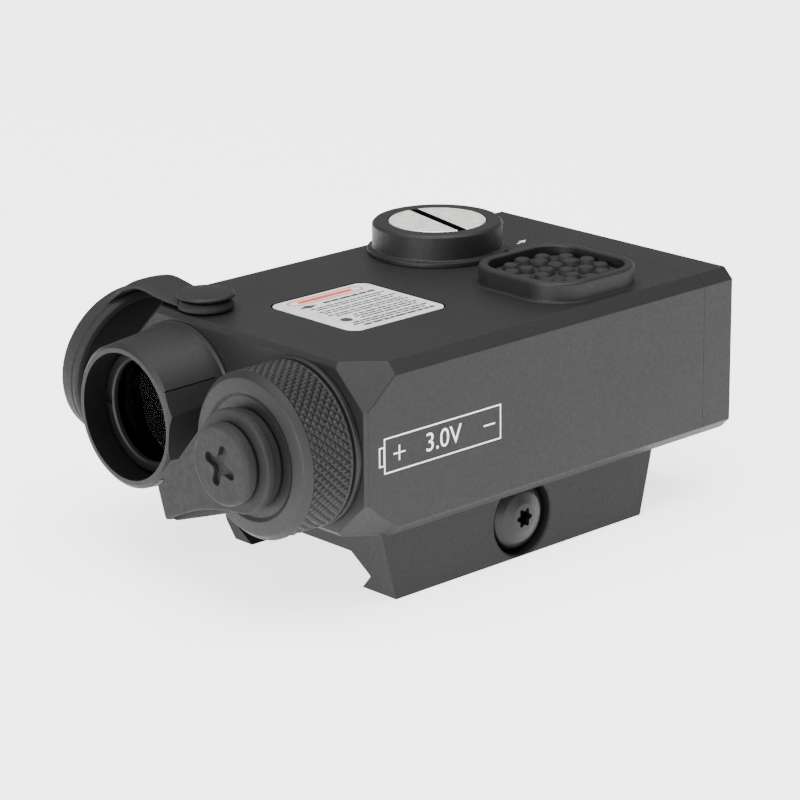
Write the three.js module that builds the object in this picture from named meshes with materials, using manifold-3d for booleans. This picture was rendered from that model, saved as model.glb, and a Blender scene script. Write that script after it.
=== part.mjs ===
// Rail-mounted laser aiming unit: a machined housing on a rail clamp, millimetres, +Z up, front towards -Y.
// The origin is on the rail seat, on the rail's centre line and one rail slot ahead of the clamp bolt.
import * as THREE from "three";
import { mergeVertices } from "three/addons/utils/BufferGeometryUtils.js";
import Module from "manifold-3d";

const wasm = await Module();
wasm.setup();

// ---------------------------------------------------------------- driving dimensions
const GAP = 0.3; // between pieces that touch on the real object
const SLOT_PITCH = 10; // one rail slot to the next
// Half the section of a 21.2 mm accessory rail: top flat, 45 degree bevel, upright side, then a
// 45 degree underside.
const RAIL = { flat: 15.6, bevel: 2.76, side: 0.2, lip: 2.08 };

const box = { width: 46, length: 67.8, height: 23, centreX: -6.3, frontY: -19.2, bottomZ: 4 };
box.left = box.centreX - box.width / 2;
box.right = box.centreX + box.width / 2;
box.top = box.bottomZ + box.height;
box.back = box.frontY + box.length;
const COVER = 5.5; // thickness of the rear cover
const SEAM = box.back - COVER;
const WALL = 2.4; // above and below the cavities
const SIDE_WALL = 2.6;
const FRONT_WALL = 4.5;
const BAFFLE = 4.2; // between the battery bore and the laser cavity
const BAY_FRONT = box.frontY + 46; // where the electronics bay starts
const EDGE = 1.5; // chamfer of the four long edges
const FACET = { x: 6.1, y: 6.9, z: 5.7 }; // where the front corner facets cut the three edges
const SIDE_BEVEL = 0.41; // small bevels of the front face's upright edges
const LEVEL_BEVEL = 0.66; // and of its top and bottom edges

const AXIS_Z = box.top - 11.6; // height of both front bores
const laser = { x: box.centreX - 12.3, reach: 9.96, rim: 9.1, shoulder: 9.63, root: 10.4, bore: 8.47 };
// Flats milled along the side of the barrel that faces the battery cap: the span of each in degrees above
// the horizontal, and its distance from the barrel's axis.
const BARREL_FLATS = [
  { from: 12, to: 32.5, reach: 9.36 },
  { from: -24, to: 12, reach: 9.05 },
  { from: -48, to: -24, reach: 9.32 },
  { from: 98, to: 126, reach: 9.42 },
];
const power = {
  x: box.centreX + 11.4, bore: 8.9, mouth: 9.9, flange: 10.95, knurl: 10.8, reach: 9.2, dish: 0.3,
};
const battery = { radius: 8.5, length: 34.5, front: box.frontY + 5.3 };

const adjuster = { y: 26.8, flange: 9.78, wall: 9.1, disc: 6.7, height: 4.4, slot: 1.35 };
const button = { x: 4.75, y: 26.5, outer: 9, corner: 5.5, rim: 1.35, height: 2.75, sunk: 1.8 };
const NUB_RINGS = [[12, 6.2, 2], [6, 4.05, 47], [3, 1.6, 17]]; // count, radius and first angle of each ring
const post = { x: laser.x, y: box.frontY + 4.2, head: 3.95, height: 2.4 };
const cap = { hinge: 13.1, turn: 176.9, tilt: 7.5, outer: 10.95, wall: 1, depth: 4.2, drop: 1.6 };
const label = { x: -5.6, y: 0, size: 17.4, corner: 2, depth: 0.6 };
const bolt = {
  y: SLOT_PITCH, z: 0.34, radius: 2.5, thread: 2, head: 4.8, recess: 5.2, sunk: 2.9, open: 4.4,
};

const mount = { front: -14.9, rear: 34.8, rake: 0.245, right: 14.9, left: -9.3 };
mount.top = box.bottomZ - GAP;
mount.bottom = -RAIL.bevel - RAIL.side - RAIL.lip;
const headSeat = mount.right - bolt.sunk;

// ---------------------------------------------------------------- solids
const deg = THREE.MathUtils.degToRad;

function solid(geometry) {
  const bare = geometry.index ? geometry.toNonIndexed() : geometry.clone();
  bare.deleteAttribute("normal");
  bare.deleteAttribute("uv");
  const merged = mergeVertices(bare, 1e-4);
  const mesh = new wasm.Mesh({
    numProp: 3,
    vertProperties: merged.attributes.position.array,
    triVerts: new Uint32Array(merged.index.array),
  });
  return new wasm.Manifold(mesh);
}

function block(x0, x1, y0, y1, z0, z1) {
  const shape = new THREE.BoxGeometry(x1 - x0, y1 - y0, z1 - z0);
  shape.translate((x0 + x1) / 2, (y0 + y1) / 2, (z0 + z1) / 2);
  return solid(shape);
}

// A turned piece about +Z, from [radius, z] points that run up the outside and close on the axis
// or on themselves.
function turned(points, segments = 40) {
  const profile = points.map(([radius, z]) => new THREE.Vector2(radius, z));
  return solid(new THREE.LatheGeometry(profile, segments).rotateX(Math.PI / 2));
}

function disc(radius, z0, z1, segments = 32) {
  return turned([[0, z0], [radius, z0], [radius, z1], [0, z1]], segments);
}

function ring(outer, inner, z0, z1, segments = 32) {
  return turned([[inner, z0], [outer, z0], [outer, z1], [inner, z1], [inner, z0]], segments);
}

// The same pieces laid along an axis: z becomes the distance ahead of the point, towards -Y, -X or +X.
const ahead = (piece, x, y, z) => piece.rotate([90, 0, 0]).translate([x, y, z]);
const leftward = (piece, x, y, z) => piece.rotate([0, -90, 0]).translate([x, y, z]);
const rightward = (piece, x, y, z) => piece.rotate([0, 90, 0]).translate([x, y, z]);

function roundedSquare(half, corner) {
  const shape = new THREE.Shape();
  const flat = half - corner;
  shape.absarc(flat, flat, corner, 0, Math.PI / 2);
  shape.absarc(-flat, flat, corner, Math.PI / 2, Math.PI);
  shape.absarc(-flat, -flat, corner, Math.PI, 1.5 * Math.PI);
  shape.absarc(flat, -flat, corner, 1.5 * Math.PI, 2 * Math.PI);
  return shape;
}

function prism(shape, depth, curveSegments = 8) {
  return solid(new THREE.ExtrudeGeometry(shape, { depth, bevelEnabled: false, curveSegments }));
}

// An outline of [x, z] points drawn across the part and run along Y.
function rail(points, y0, y1) {
  const shape = new THREE.Shape(points.map(([x, z]) => new THREE.Vector2(x, z)));
  return prism(shape, y1 - y0).rotate([90, 0, 0]).translate([0, y1, 0]);
}

// Everything on the far side of a plane through point, in the direction of normal.
function beyond(point, normal) {
  const size = 120;
  const slab = new THREE.BoxGeometry(size, size, size);
  slab.translate(0, 0, size / 2);
  const turn = new THREE.Quaternion().setFromUnitVectors(
    new THREE.Vector3(0, 0, 1),
    new THREE.Vector3(...normal).normalize(),
  );
  slab.applyQuaternion(turn);
  slab.translate(...point);
  return solid(slab);
}

function tube(curve, radius, steps, sides = 8) {
  const section = new THREE.Shape();
  for (let i = 0; i < sides; i += 1) {
    const angle = (i / sides) * 2 * Math.PI;
    section[i ? "lineTo" : "moveTo"](radius * Math.cos(angle), radius * Math.sin(angle));
  }
  return solid(new THREE.ExtrudeGeometry(section, { steps, extrudePath: curve }));
}

function helix(turns, radiusAt, riseAt) {
  class Coil extends THREE.Curve {
    getPoint(t) {
      const angle = 2 * Math.PI * turns * t;
      return new THREE.Vector3(radiusAt(t) * Math.cos(angle), radiusAt(t) * Math.sin(angle), riseAt(t));
    }
  }
  return new Coil();
}

function geometryOf(piece) {
  const mesh = piece.getMesh();
  const geometry = new THREE.BufferGeometry();
  const points = new Float32Array(mesh.numVert * 3);
  for (let i = 0; i < mesh.numVert; i += 1) {
    points.set(mesh.vertProperties.subarray(i * mesh.numProp, i * mesh.numProp + 3), i * 3);
  }
  geometry.setAttribute("position", new THREE.BufferAttribute(points, 3));
  geometry.setIndex(new THREE.BufferAttribute(mesh.triVerts, 1));
  const flat = geometry.toNonIndexed();
  flat.computeVertexNormals();
  return flat;
}

// ---------------------------------------------------------------- materials
const MATERIALS = {
  anodised: [0x3b3b3d, 0.55, 0.6],
  steel: [0x55565a, 0.4, 0.85],
  silver: [0xd9d8d3, 0.35, 0.9],
  rubber: [0x3a3a3b, 0.85, 0],
  glass: [0x7f8a99, 0.05, 0],
  brass: [0xb08d4a, 0.35, 0.9],
  board: [0x1f5a3a, 0.6, 0],
  chip: [0x1b1b1d, 0.5, 0],
  wrap: [0x2f4f86, 0.4, 0],
  label: [0xf2f2f0, 0.5, 0],
};

const group = new THREE.Group();

function add(name, material, piece, parent = group) {
  const [color, roughness, metalness] = MATERIALS[material];
  const look = new THREE.MeshStandardMaterial({ color, roughness, metalness, flatShading: true });
  const mesh = new THREE.Mesh(geometryOf(piece), look);
  mesh.name = name;
  parent.add(mesh);
  return mesh;
}

// ---------------------------------------------------------------- housing
function boxOutline(inset = 0) {
  const [x0, x1] = [box.left + inset, box.right - inset];
  const [z0, z1] = [box.bottomZ + inset, box.top - inset];
  const e = EDGE;
  return [
    [x0 + e, z0], [x1 - e, z0], [x1, z0 + e], [x1, z1 - e],
    [x1 - e, z1], [x0 + e, z1], [x0, z1 - e], [x0, z0 + e],
  ];
}

const coverScrew = { outX: 18.9, upZ: 7.4, thread: 1.25, hole: 1.5, head: 2.3, recess: 2.7, boss: 3 };
const COVER_SCREWS = [-1, 1].flatMap((sx) => [-1, 1].map((sz) => [
  box.centreX + coverScrew.outX * sx,
  box.bottomZ + box.height / 2 + coverScrew.upZ * sz,
]));
const MOUNT_SCREWS = [-8, 27];
const MOUNT_SCREW_X = -5.9; // under the wall between the laser cavity and the battery bore

function frontFacets(body) {
  let cut = body;
  for (const sx of [-1, 1]) {
    for (const sz of [-1, 1]) {
      const x = sx > 0 ? box.right : box.left;
      const z = sz > 0 ? box.top : box.bottomZ;
      const outward = [sx / FACET.x, -1 / FACET.y, sz / FACET.z];
      cut = cut.subtract(beyond([x - sx * FACET.x, box.frontY, z], outward));
    }
    const side = sx > 0 ? box.right : box.left;
    cut = cut.subtract(beyond([side - sx * SIDE_BEVEL, box.frontY, 0], [sx, -1, 0]));
    const level = sx > 0 ? box.top : box.bottomZ;
    cut = cut.subtract(beyond([0, box.frontY, level - sx * LEVEL_BEVEL], [0, -1, sx]));
  }
  return cut;
}

const guardHalf = button.outer - button.rim;
const guardCorner = button.corner - button.rim;
const PAD_FLOOR = box.top - button.sunk;

function housing() {
  let body = frontFacets(rail(boxOutline(), box.frontY, SEAM - GAP / 2));
  const guard = prism(roundedSquare(button.outer, button.corner), button.height + 1);
  body = body.add(guard.translate([button.x, button.y, box.top - 1]));
  const well = prism(roundedSquare(guardHalf, guardCorner), 8);
  body = body.subtract(well.translate([button.x, button.y, PAD_FLOOR]));

  // laser cavity, battery bore and the electronics bay behind both
  const cavity = [box.bottomZ + WALL, box.top - WALL];
  const [left, right] = [box.left + SIDE_WALL, box.right - SIDE_WALL];
  const baffle = power.x - power.bore - BAFFLE;
  body = body.subtract(block(left, baffle, box.frontY + FRONT_WALL, SEAM + 1, ...cavity));
  let bay = block(left, right, BAY_FRONT, SEAM + 1, ...cavity);
  for (const [x, z] of COVER_SCREWS) {
    bay = bay.subtract(ahead(disc(coverScrew.boss, -SEAM - 2, -box.frontY - 20, 24), x, 0, z));
  }
  body = body.subtract(bay);
  body = body.subtract(ahead(disc(power.bore, -24.8, 30), power.x, 0, AXIS_Z));
  body = body.subtract(ahead(disc(power.mouth, -box.frontY - 5.6, 30, 48), power.x, 0, AXIS_Z));
  body = body.subtract(ahead(disc(1.5, -28, 0, 12), power.x - 4, 0, AXIS_Z));
  for (const [x, z] of COVER_SCREWS) {
    body = body.subtract(ahead(disc(coverScrew.hole, -SEAM - 2, -SEAM + 8, 16), x, 0, z));
  }

  // seats for the barrel, both adjusters, the strap post, the label and the mount screws
  body = body.subtract(ahead(disc(7.1, 0, 30), laser.x, 0, AXIS_Z));
  body = body.subtract(disc(5.3, box.top - 4, box.top + 1).translate([laser.x, adjuster.y, 0]));
  body = body.subtract(leftward(disc(5.3, -4, 1), box.left, adjuster.y, AXIS_Z));
  body = body.subtract(disc(1.5, box.top - 1.8, box.top + 1, 24).translate([post.x, post.y, 0]));
  const recess = prism(roundedSquare(label.size / 2, label.corner), 2);
  body = body.subtract(recess.translate([label.x, label.y, box.top - label.depth]));
  for (const y of MOUNT_SCREWS) {
    body = body.subtract(disc(1.7, 0, box.bottomZ + 7.5, 16).translate([MOUNT_SCREW_X, y, 0]));
  }
  // the clamp bolt's recess reaches up into the underside, behind its chamfer
  return body.subtract(rightward(disc(bolt.recess, headSeat, mount.right + 0.1, 40), 0, bolt.y, bolt.z));
}
add("housing", "anodised", housing());

// ---------------------------------------------------------------- rear cover
function rearCover() {
  let plate = rail(boxOutline(), SEAM + GAP / 2, box.back);
  for (const [x, z] of COVER_SCREWS) {
    plate = plate.subtract(ahead(disc(coverScrew.hole, -box.back - 1, -SEAM + 1, 16), x, 0, z));
    plate = plate.subtract(ahead(disc(coverScrew.recess, -box.back - 1, -box.back + 2.4, 24), x, 0, z));
  }
  const well = block(box.left + 5, box.right - 5, SEAM - 1, SEAM + 2.6, box.bottomZ + 6, box.top - 6);
  return plate.subtract(well);
}
add("rear_cover", "anodised", rearCover());

// A cap screw with a hexagon socket, head at z = 0 to head height, shank below.
function capScrew(head, height, shank, length, socket) {
  const outline = [[0, -length], [shank, -length], [shank, 0], [head, 0], [head, height], [0, height]];
  const body = turned(outline, 20);
  return body.subtract(disc(socket, height * 0.4, height + 1, 6));
}
COVER_SCREWS.forEach(([x, z], i) => {
  const screw = capScrew(coverScrew.head, 1.6, coverScrew.thread, 9.5, 1.1).rotate([-90, 0, 0]);
  add(`cover_screw_${i + 1}`, "steel", screw.translate([x, box.back - 2.1, z]));
});

// ---------------------------------------------------------------- laser barrel and window
function frontBarrel() {
  const face = -box.frontY; // distance ahead of the part's own y = 0
  const front = face + laser.reach;
  const outline = [
    [6.8, face - 4.6], [6.8, face + GAP], [laser.root + 0.5, face + GAP], [laser.root, face + 0.8],
    [laser.shoulder, front - 0.5], [laser.rim, front], [laser.bore, front],
    [laser.bore, face + 2.4], [5.9, face + 2.4], [5.9, face - 4.6], [6.8, face - 4.6],
  ];
  let barrel = turned(outline, 56);
  for (const { from, to, reach } of BARREL_FLATS) {
    const across = (angle) => [Math.cos(deg(angle)), Math.sin(deg(angle)), 0];
    const middle = across((from + to) / 2);
    const flat = beyond([middle[0] * reach, middle[1] * reach, 0], middle)
      .subtract(beyond([0, 0, 0], across(to + 90)))
      .subtract(beyond([0, 0, 0], across(from - 90)))
      .intersect(block(-40, 40, -40, 40, face + 1.2, 60));
    barrel = barrel.subtract(flat);
  }
  return ahead(barrel, laser.x, 0, AXIS_Z);
}
add("front_barrel", "anodised", frontBarrel());

const windowSeat = -box.frontY + 2.4 + GAP;
const pane = { radius: laser.bore - 0.32, clear: 6.9, from: windowSeat + 1.1, to: windowSeat + 2.6 };
add("window_seal", "rubber", ahead(ring(8.1, 7, windowSeat, pane.from - GAP), laser.x, 0, AXIS_Z));
add("front_window", "glass", ahead(disc(pane.radius, pane.from, pane.to), laser.x, 0, AXIS_Z));
const retainer = ring(pane.radius, pane.clear, pane.to + GAP, pane.to + GAP + 0.8);
add("window_ring", "anodised", ahead(retainer, laser.x, 0, AXIS_Z));

// ---------------------------------------------------------------- laser module in its gimbal
const PIVOT_Y = -8;
const module = { radius: 6.2, front: PIVOT_Y - 4, rear: 34 };

function laserTube() {
  const [near, far] = [-module.rear, -module.front];
  const outline = [
    [4.2, near], [6.2, near], [6.2, far - 8], [5.4, far - 7.4], [5.4, far],
    [4.4, far], [4.4, far - 9], [4.2, far - 9], [4.2, near],
  ];
  let body = ahead(turned(outline, 32), laser.x, 0, AXIS_Z);
  for (const side of [-1, 1]) {
    const pin = rightward(disc(0.8, 5, 6.4, 12), 0, PIVOT_Y, AXIS_Z);
    const handed = side > 0 ? pin : pin.mirror([1, 0, 0]);
    body = body.add(handed.translate([laser.x, 0, 0]));
  }
  return body;
}
add("laser_tube", "brass", laserTube());
const lensY = -module.front - 3;
const lensOutline = [
  [0, lensY - 1.2], [3.9, lensY - 1.2], [3.9, lensY - 0.2], [2.2, lensY + 0.6], [0, lensY + 0.9],
];
add("collimating_lens", "glass", ahead(turned(lensOutline, 32), laser.x, 0, AXIS_Z));
add("lens_cell", "anodised", ahead(ring(4.1, 3, lensY - 3, lensY - 1.5, 32), laser.x, 0, AXIS_Z));
const diodeOutline = [[0, -22.2], [3.9, -22.2], [3.9, -21], [2.3, -21], [2.3, -18], [0, -18]];
add("laser_diode", "brass", ahead(turned(diodeOutline, 32), laser.x, 0, AXIS_Z));
add("driver_board", "board", ahead(disc(3.9, -31, -29.4, 24), laser.x, 0, AXIS_Z));

function gimbalRing() {
  let body = ahead(ring(7.9, 6.8, -PIVOT_Y - 1.5, -PIVOT_Y + 1.5), laser.x, 0, AXIS_Z);
  body = body.subtract(rightward(disc(1, -12, 12, 12), laser.x, PIVOT_Y, AXIS_Z));
  const pin = disc(0.8, 7.4, 8.8, 12);
  body = body.add(pin.translate([laser.x, PIVOT_Y, AXIS_Z]));
  return body.add(pin.mirror([0, 0, 1]).translate([laser.x, PIVOT_Y, AXIS_Z]));
}
add("gimbal_ring", "steel", gimbalRing());

// A strip bent into a shallow arch, lying along Y and rising along +Z from z = 0.
function archSpring(length, rise, width, thickness) {
  const steps = 12;
  const height = (t) => rise * Math.sin(Math.PI * t);
  const upper = [];
  const lower = [];
  for (let i = 0; i <= steps; i += 1) {
    const t = i / steps;
    upper.push([length * (t - 0.5), height(t) + thickness]);
    lower.unshift([length * (t - 0.5), height(t)]);
  }
  const shape = new THREE.Shape([...upper, ...lower].map(([x, z]) => new THREE.Vector2(x, z)));
  return prism(shape, width).translate([0, 0, -width / 2]).rotate([90, 0, 90]);
}
const springSpan = 15;
const lift = archSpring(springSpan, 1.2, 3, 0.3);
add("elevation_spring", "steel", lift.translate([laser.x, adjuster.y, box.bottomZ + WALL + GAP]));
const baffleX = power.x - power.bore - 4.2;
const side = archSpring(springSpan, 2.6, 3, 0.3).rotate([0, -90, 0]);
add("windage_spring", "steel", side.translate([baffleX - GAP, adjuster.y, AXIS_Z]));

// ---------------------------------------------------------------- elevation and windage adjusters
// Both stand on a face of the housing; each is built upright, its z = 0 on that face, and laid down
// by its group.
function adjusterSet(name, turn, stem) {
  const stand = new THREE.Group();
  const { flange, wall, height } = adjuster;
  const collar = turned([
    [5, -2], [5, GAP], [flange, GAP], [flange, 0.7], [wall + 0.35, 0.95], [wall, 1.4], [wall, height - 0.3],
    [wall - 0.3, height], [adjuster.disc + 0.2, height], [adjuster.disc + 0.2, 2.6], [2.8, 2.6], [2.8, 1],
    [3.9, 1], [3.9, -2], [5, -2],
  ], 40);
  add(`${name}_collar`, "anodised", collar, stand);
  let screw = turned([
    [0, -stem], [1.4, -stem], [2.5, 1.2 - stem], [2.5, 2.9], [adjuster.disc, 2.9],
    [adjuster.disc, height - 0.1], [adjuster.disc - 0.15, height + 0.05], [0, height + 0.05],
  ], 40);
  const slot = block(-9, 9, -adjuster.slot / 2, adjuster.slot / 2, height - 0.85, height + 1);
  screw = screw.subtract(slot.rotate([0, 0, turn]));
  add(`${name}_screw`, "silver", screw, stand);
  add(`${name}_seal`, "rubber", ring(3.7, 2.75, -1.6, 0.7, 32), stand);
  group.add(stand);
  return stand;
}
const stemFree = module.radius + 0.8; // the stems stop this far from the module's axis, so that it can tip
adjusterSet("elevation", -13.3, box.top - AXIS_Z - stemFree).position.set(laser.x, adjuster.y, box.top);
const windage = adjusterSet("windage", 90, laser.x - box.left - stemFree);
windage.position.set(box.left, adjuster.y, AXIS_Z);
windage.rotation.y = -Math.PI / 2;

// ---------------------------------------------------------------- button and switch
function buttonPad() {
  const half = guardHalf - GAP;
  const floor = box.top + 0.2;
  let pad = prism(roundedSquare(half, guardCorner - GAP), 1.2).translate([button.x, button.y, floor]);
  const nub = turned([[0, -0.3], [1.1, -0.3], [1.1, 0.2], [0.8, 0.6], [0, 0.8]], 10);
  for (const [count, radius, first] of NUB_RINGS) {
    for (let i = 0; i < count; i += 1) {
      const angle = deg(first + (360 * i) / count);
      const place = [button.x + radius * Math.cos(angle), button.y + radius * Math.sin(angle), floor + 1.2];
      pad = pad.add(nub.translate(place));
    }
  }
  return pad;
}
add("button_pad", "rubber", buttonPad());
add("switch_board", "board", block(
  button.x - 5.5, button.x + 5.5, button.y - 5.5, button.y + 5.5, PAD_FLOOR + 0.2, PAD_FLOOR + 0.8));
const dome = turned([[0, 0], [2.6, 0], [1.6, 0.25], [0, 0.35]], 20);
add("snap_dome", "steel", dome.translate([button.x, button.y, PAD_FLOOR + 1.05]));

// ---------------------------------------------------------------- electronics
add("main_board", "board", block(-12, 9.3, 38.4, 40, 8.2, 22.4));
add("controller_chip", "chip", block(-6, 1, 40.3, 41.6, 12, 19));
add("board_connector", "label", block(4, 9, 35, 38.1, 12, 18));

// ---------------------------------------------------------------- battery, its contacts and its cap
const nubLength = 1.2;
add("battery", "wrap", ahead(turned([
  [0, -battery.front - battery.length], [battery.radius, -battery.front - battery.length],
  [battery.radius, -battery.front - nubLength], [3.3, -battery.front - nubLength],
  [3.3, -battery.front], [0, -battery.front],
], 40), power.x, 0, AXIS_Z));
const batteryEnd = battery.front + battery.length;
const coil = helix(3, (t) => 6.4 - 3 * t, (t) => -batteryEnd - 0.9 - 1.7 * t);
add("battery_spring", "silver", ahead(tube(coil, 0.4, 54, 6), power.x, 0, AXIS_Z));
add("rear_contact", "brass", ahead(disc(7, -24.5, -23.9, 32), power.x, 0, AXIS_Z));

const capFace = -box.frontY + power.reach;
function batteryCap() {
  const face = -box.frontY;
  const { flange, knurl } = power;
  const outline = [
    [8.2, face - 4.4], [9.5, face - 4.4], [9.5, face + GAP], [flange, face + GAP], [flange, face + 0.9],
    [knurl - 0.5, face + 1], [knurl - 0.5, face + 1.3], [knurl, face + 1.5], [knurl, face + 8.05],
    [knurl - 0.9, capFace], [8.3, capFace], [8.3, capFace - power.dish], [4.5, capFace - power.dish],
    [4.5, face + 2.6], [8.2, face + 2.6], [8.2, face - 4.4],
  ];
  return ahead(turned(outline, 56), power.x, 0, AXIS_Z);
}
add("battery_cap", "anodised", batteryCap());
const neckEnd = -box.frontY - 4.4;
add("cap_seal", "rubber", ahead(ring(9.7, 8.95, neckEnd - 0.8, neckEnd - GAP), power.x, 0, AXIS_Z));

function jackSocket() {
  const front = capFace - 0.1;
  return ahead(turned([
    [2.9, capFace - 11], [3.6, capFace - 11], [3.6, capFace - 9.4], [7.6, capFace - 9.4],
    [7.6, capFace - 6.9], [4.2, capFace - 6.9], [4.2, front], [2.9, front], [2.9, capFace - 11],
  ], 32), power.x, 0, AXIS_Z);
}
add("jack_socket", "steel", jackSocket());
const touch = helix(2, (t) => 2.3 + 0.9 * t, (t) => -battery.front + 0.6 + 2.1 * t);
add("contact_spring", "silver", ahead(tube(touch, 0.3, 32, 6), power.x, 0, AXIS_Z));

// ---------------------------------------------------------------- plug and its folded tether
const plug = { head: 5.3, neck: 2.6, back: capFace + 2.8, front: capFace + 4.7 };
function portPlug() {
  const { head, neck, back, front } = plug;
  const body = turned([
    [0, capFace - 6], [neck - 0.4, capFace - 6], [neck, capFace - 5.4], [neck, back], [head - 0.4, back],
    [head, back + 0.4], [head, front - 0.8], [head - 0.8, front], [0, front],
  ], 40);
  let cut = body;
  for (const turn of [71, 161]) {
    const arm = block(-2.45, 2.45, -0.4, 0.4, front - 0.9, front + 1);
    cut = cut.subtract(arm.rotate([0, 0, turn]));
  }
  return ahead(cut, power.x, 0, AXIS_Z);
}
add("port_plug", "rubber", portPlug());

// A tongue that narrows from an eye to a round end, drawn with the eye at the origin.
function tongue(eye, end, reach, drop) {
  const shape = new THREE.Shape();
  const aim = Math.atan2(-drop, -reach);
  const spread = Math.acos((eye - end) / Math.hypot(reach, drop));
  shape.absarc(0, 0, eye, aim + spread, aim - spread + 2 * Math.PI);
  shape.absarc(-reach, -drop, end, aim - spread + 2 * Math.PI, aim + spread + 2 * Math.PI);
  return shape;
}
// The tether is folded back on itself: its rear eye lies on the cap and its front eye under the
// plug's head.
function plugTether() {
  const layer = (eye, z0, z1) => prism(tongue(eye, 2.2, 14.2, 9.3), z1 - z0).translate([0, 0, z0]);
  const folded = layer(6.2, GAP, 1.3).add(layer(6.7, 1.2, 2.5)).add(disc(6.2, 0, GAP + 0.1));
  const open = folded.subtract(disc(4.5, -1, GAP)).subtract(disc(plug.neck + GAP, 0, 4));
  return ahead(open.translate([0, 0, capFace]), power.x, 0, AXIS_Z);
}
add("plug_tether", "rubber", plugTether());

// ---------------------------------------------------------------- strap post and lens cap
add("strap_post", "anodised", turned([
  [0, -1.6], [1.3, -1.6], [1.3, 1.6], [post.head - 0.6, 1.65], [post.head, 2], [post.head - 0.3, 2.3],
  [0, post.height],
], 32).translate([post.x, post.y, box.top]));

// Drawn with the strap running towards +X from the post, then turned about the post by the cap's
// rest angle.
const swing = new THREE.Group();
swing.position.set(post.x, post.y, box.top);
swing.rotation.z = deg(cap.turn);
group.add(swing);

function capStrap() {
  const width = 6.4;
  const eye = ring(3.7, 1.6, GAP, 1.35, 32);
  const reach = cap.hinge - GAP;
  const path = new THREE.Shape([
    [1.7, GAP], [9, 0.6], [11.3, 0.5], [reach, 0.2], [reach, 1.2], [11.5, 1.8], [9, 1.85], [1.7, 1.35],
  ].map(([x, z]) => new THREE.Vector2(x, z)));
  const strap = prism(path, width).rotate([90, 0, 0]).translate([0, width / 2, 0]);
  return eye.add(strap.subtract(disc(1.6, -1, 4, 32)).subtract(disc(3, 1.36, 4, 32)));
}
add("lens_cap_strap", "rubber", capStrap(), swing);

const flap = new THREE.Group();
flap.position.set(cap.hinge, 0, 1.2);
flap.rotation.y = deg(-cap.tilt);
swing.add(flap);
function lensCap() {
  const { outer, wall, depth, drop } = cap;
  let cup = turned([
    [0, depth - 1.2], [outer - wall, depth - 1.2], [outer - wall, 0], [outer, 0], [outer, depth - 1],
    [outer - 1, depth], [0, depth],
  ], 48);
  cup = cup.rotate([0, 90, 0]).translate([0, 0, -outer - drop]);
  const tab = rail([[0.15, -0.1], [0.15, -drop - 0.7], [2.6, -drop - 0.7], [2.6, -drop + 0.3]], -3, 3);
  return cup.add(tab);
}
add("lens_cap", "rubber", lensCap(), flap);

// ---------------------------------------------------------------- label
const plate = prism(roundedSquare(label.size / 2 - GAP, label.corner - GAP), 0.35);
add("label_plate", "label", plate.translate([label.x, label.y, box.top - label.depth + 0.2]));

// ---------------------------------------------------------------- rail mount
function rakeEnds(body) {
  const front = beyond([0, mount.front, mount.top], [0, -1, -mount.rake]);
  const rear = beyond([0, mount.rear, mount.top], [0, 1, -mount.rake]);
  return body.subtract(front).subtract(rear);
}

function mountBase() {
  const seat = RAIL.flat / 2;
  const notch = seat + RAIL.bevel;
  const edge = 0.15;
  const outline = [
    [mount.left, 0], [seat, 0], [notch, -RAIL.bevel], [notch, -RAIL.bevel - RAIL.side],
    [notch - RAIL.lip, mount.bottom], [mount.right - edge, mount.bottom],
    [mount.right, mount.bottom + edge],
    [mount.right, mount.top], [mount.left, mount.top],
  ];
  let body = rakeEnds(rail(outline, mount.front - 2, mount.rear + 2));
  body = body.subtract(rightward(disc(bolt.radius + 0.15, -20, 20, 24), 0, bolt.y, bolt.z));
  body = body.subtract(rightward(disc(bolt.recess, headSeat, 20, 40), 0, bolt.y, bolt.z));
  for (const y of MOUNT_SCREWS) {
    body = body.subtract(disc(1.7, -1, 6, 16).translate([MOUNT_SCREW_X, y, 0]));
    body = body.subtract(disc(3.1, -1, 2, 24).translate([MOUNT_SCREW_X, y, 0]));
  }
  return body;
}
add("mount_base", "anodised", mountBase());
MOUNT_SCREWS.forEach((y, i) => {
  const screw = capScrew(2.8, 1.4, 1.4, 9.3, 1.2).rotate([180, 0, 0]);
  add(`mount_screw_${i + 1}`, "steel", screw.translate([MOUNT_SCREW_X, y, 1.7]));
});

const NUT = 4.04; // centre to corner
function clampPlate() {
  const seat = RAIL.flat / 2 + GAP;
  const notch = seat + RAIL.bevel;
  const inner = mount.left - GAP;
  const outer = -notch - 2.4;
  const outline = [
    [inner, mount.top], [outer, mount.top], [outer, -2.4], [outer + 1, mount.bottom],
    [RAIL.lip - notch, mount.bottom], [-notch, -RAIL.bevel - RAIL.side], [-notch, -RAIL.bevel],
    [inner, notch + inner - RAIL.bevel],
  ];
  let body = rakeEnds(rail(outline, mount.front - 2, mount.rear + 2));
  body = body.subtract(rightward(disc(bolt.radius + 0.15, -20, 20, 24), 0, bolt.y, bolt.z));
  body = body.subtract(rightward(disc(NUT + GAP, -20, outer + 1.9, 6), 0, bolt.y, bolt.z));
  return body.translate([-bolt.open, 0, 0]);
}
add("clamp_plate", "anodised", clampPlate());

const nutX = -RAIL.flat / 2 - GAP - RAIL.bevel - 2.4 - bolt.open;
const nut = disc(NUT, 0.1, 1.6, 6).subtract(disc(bolt.thread + 0.1, -1, 3, 24));
add("clamp_nut", "steel", rightward(nut, nutX, bolt.y, bolt.z));

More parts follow.
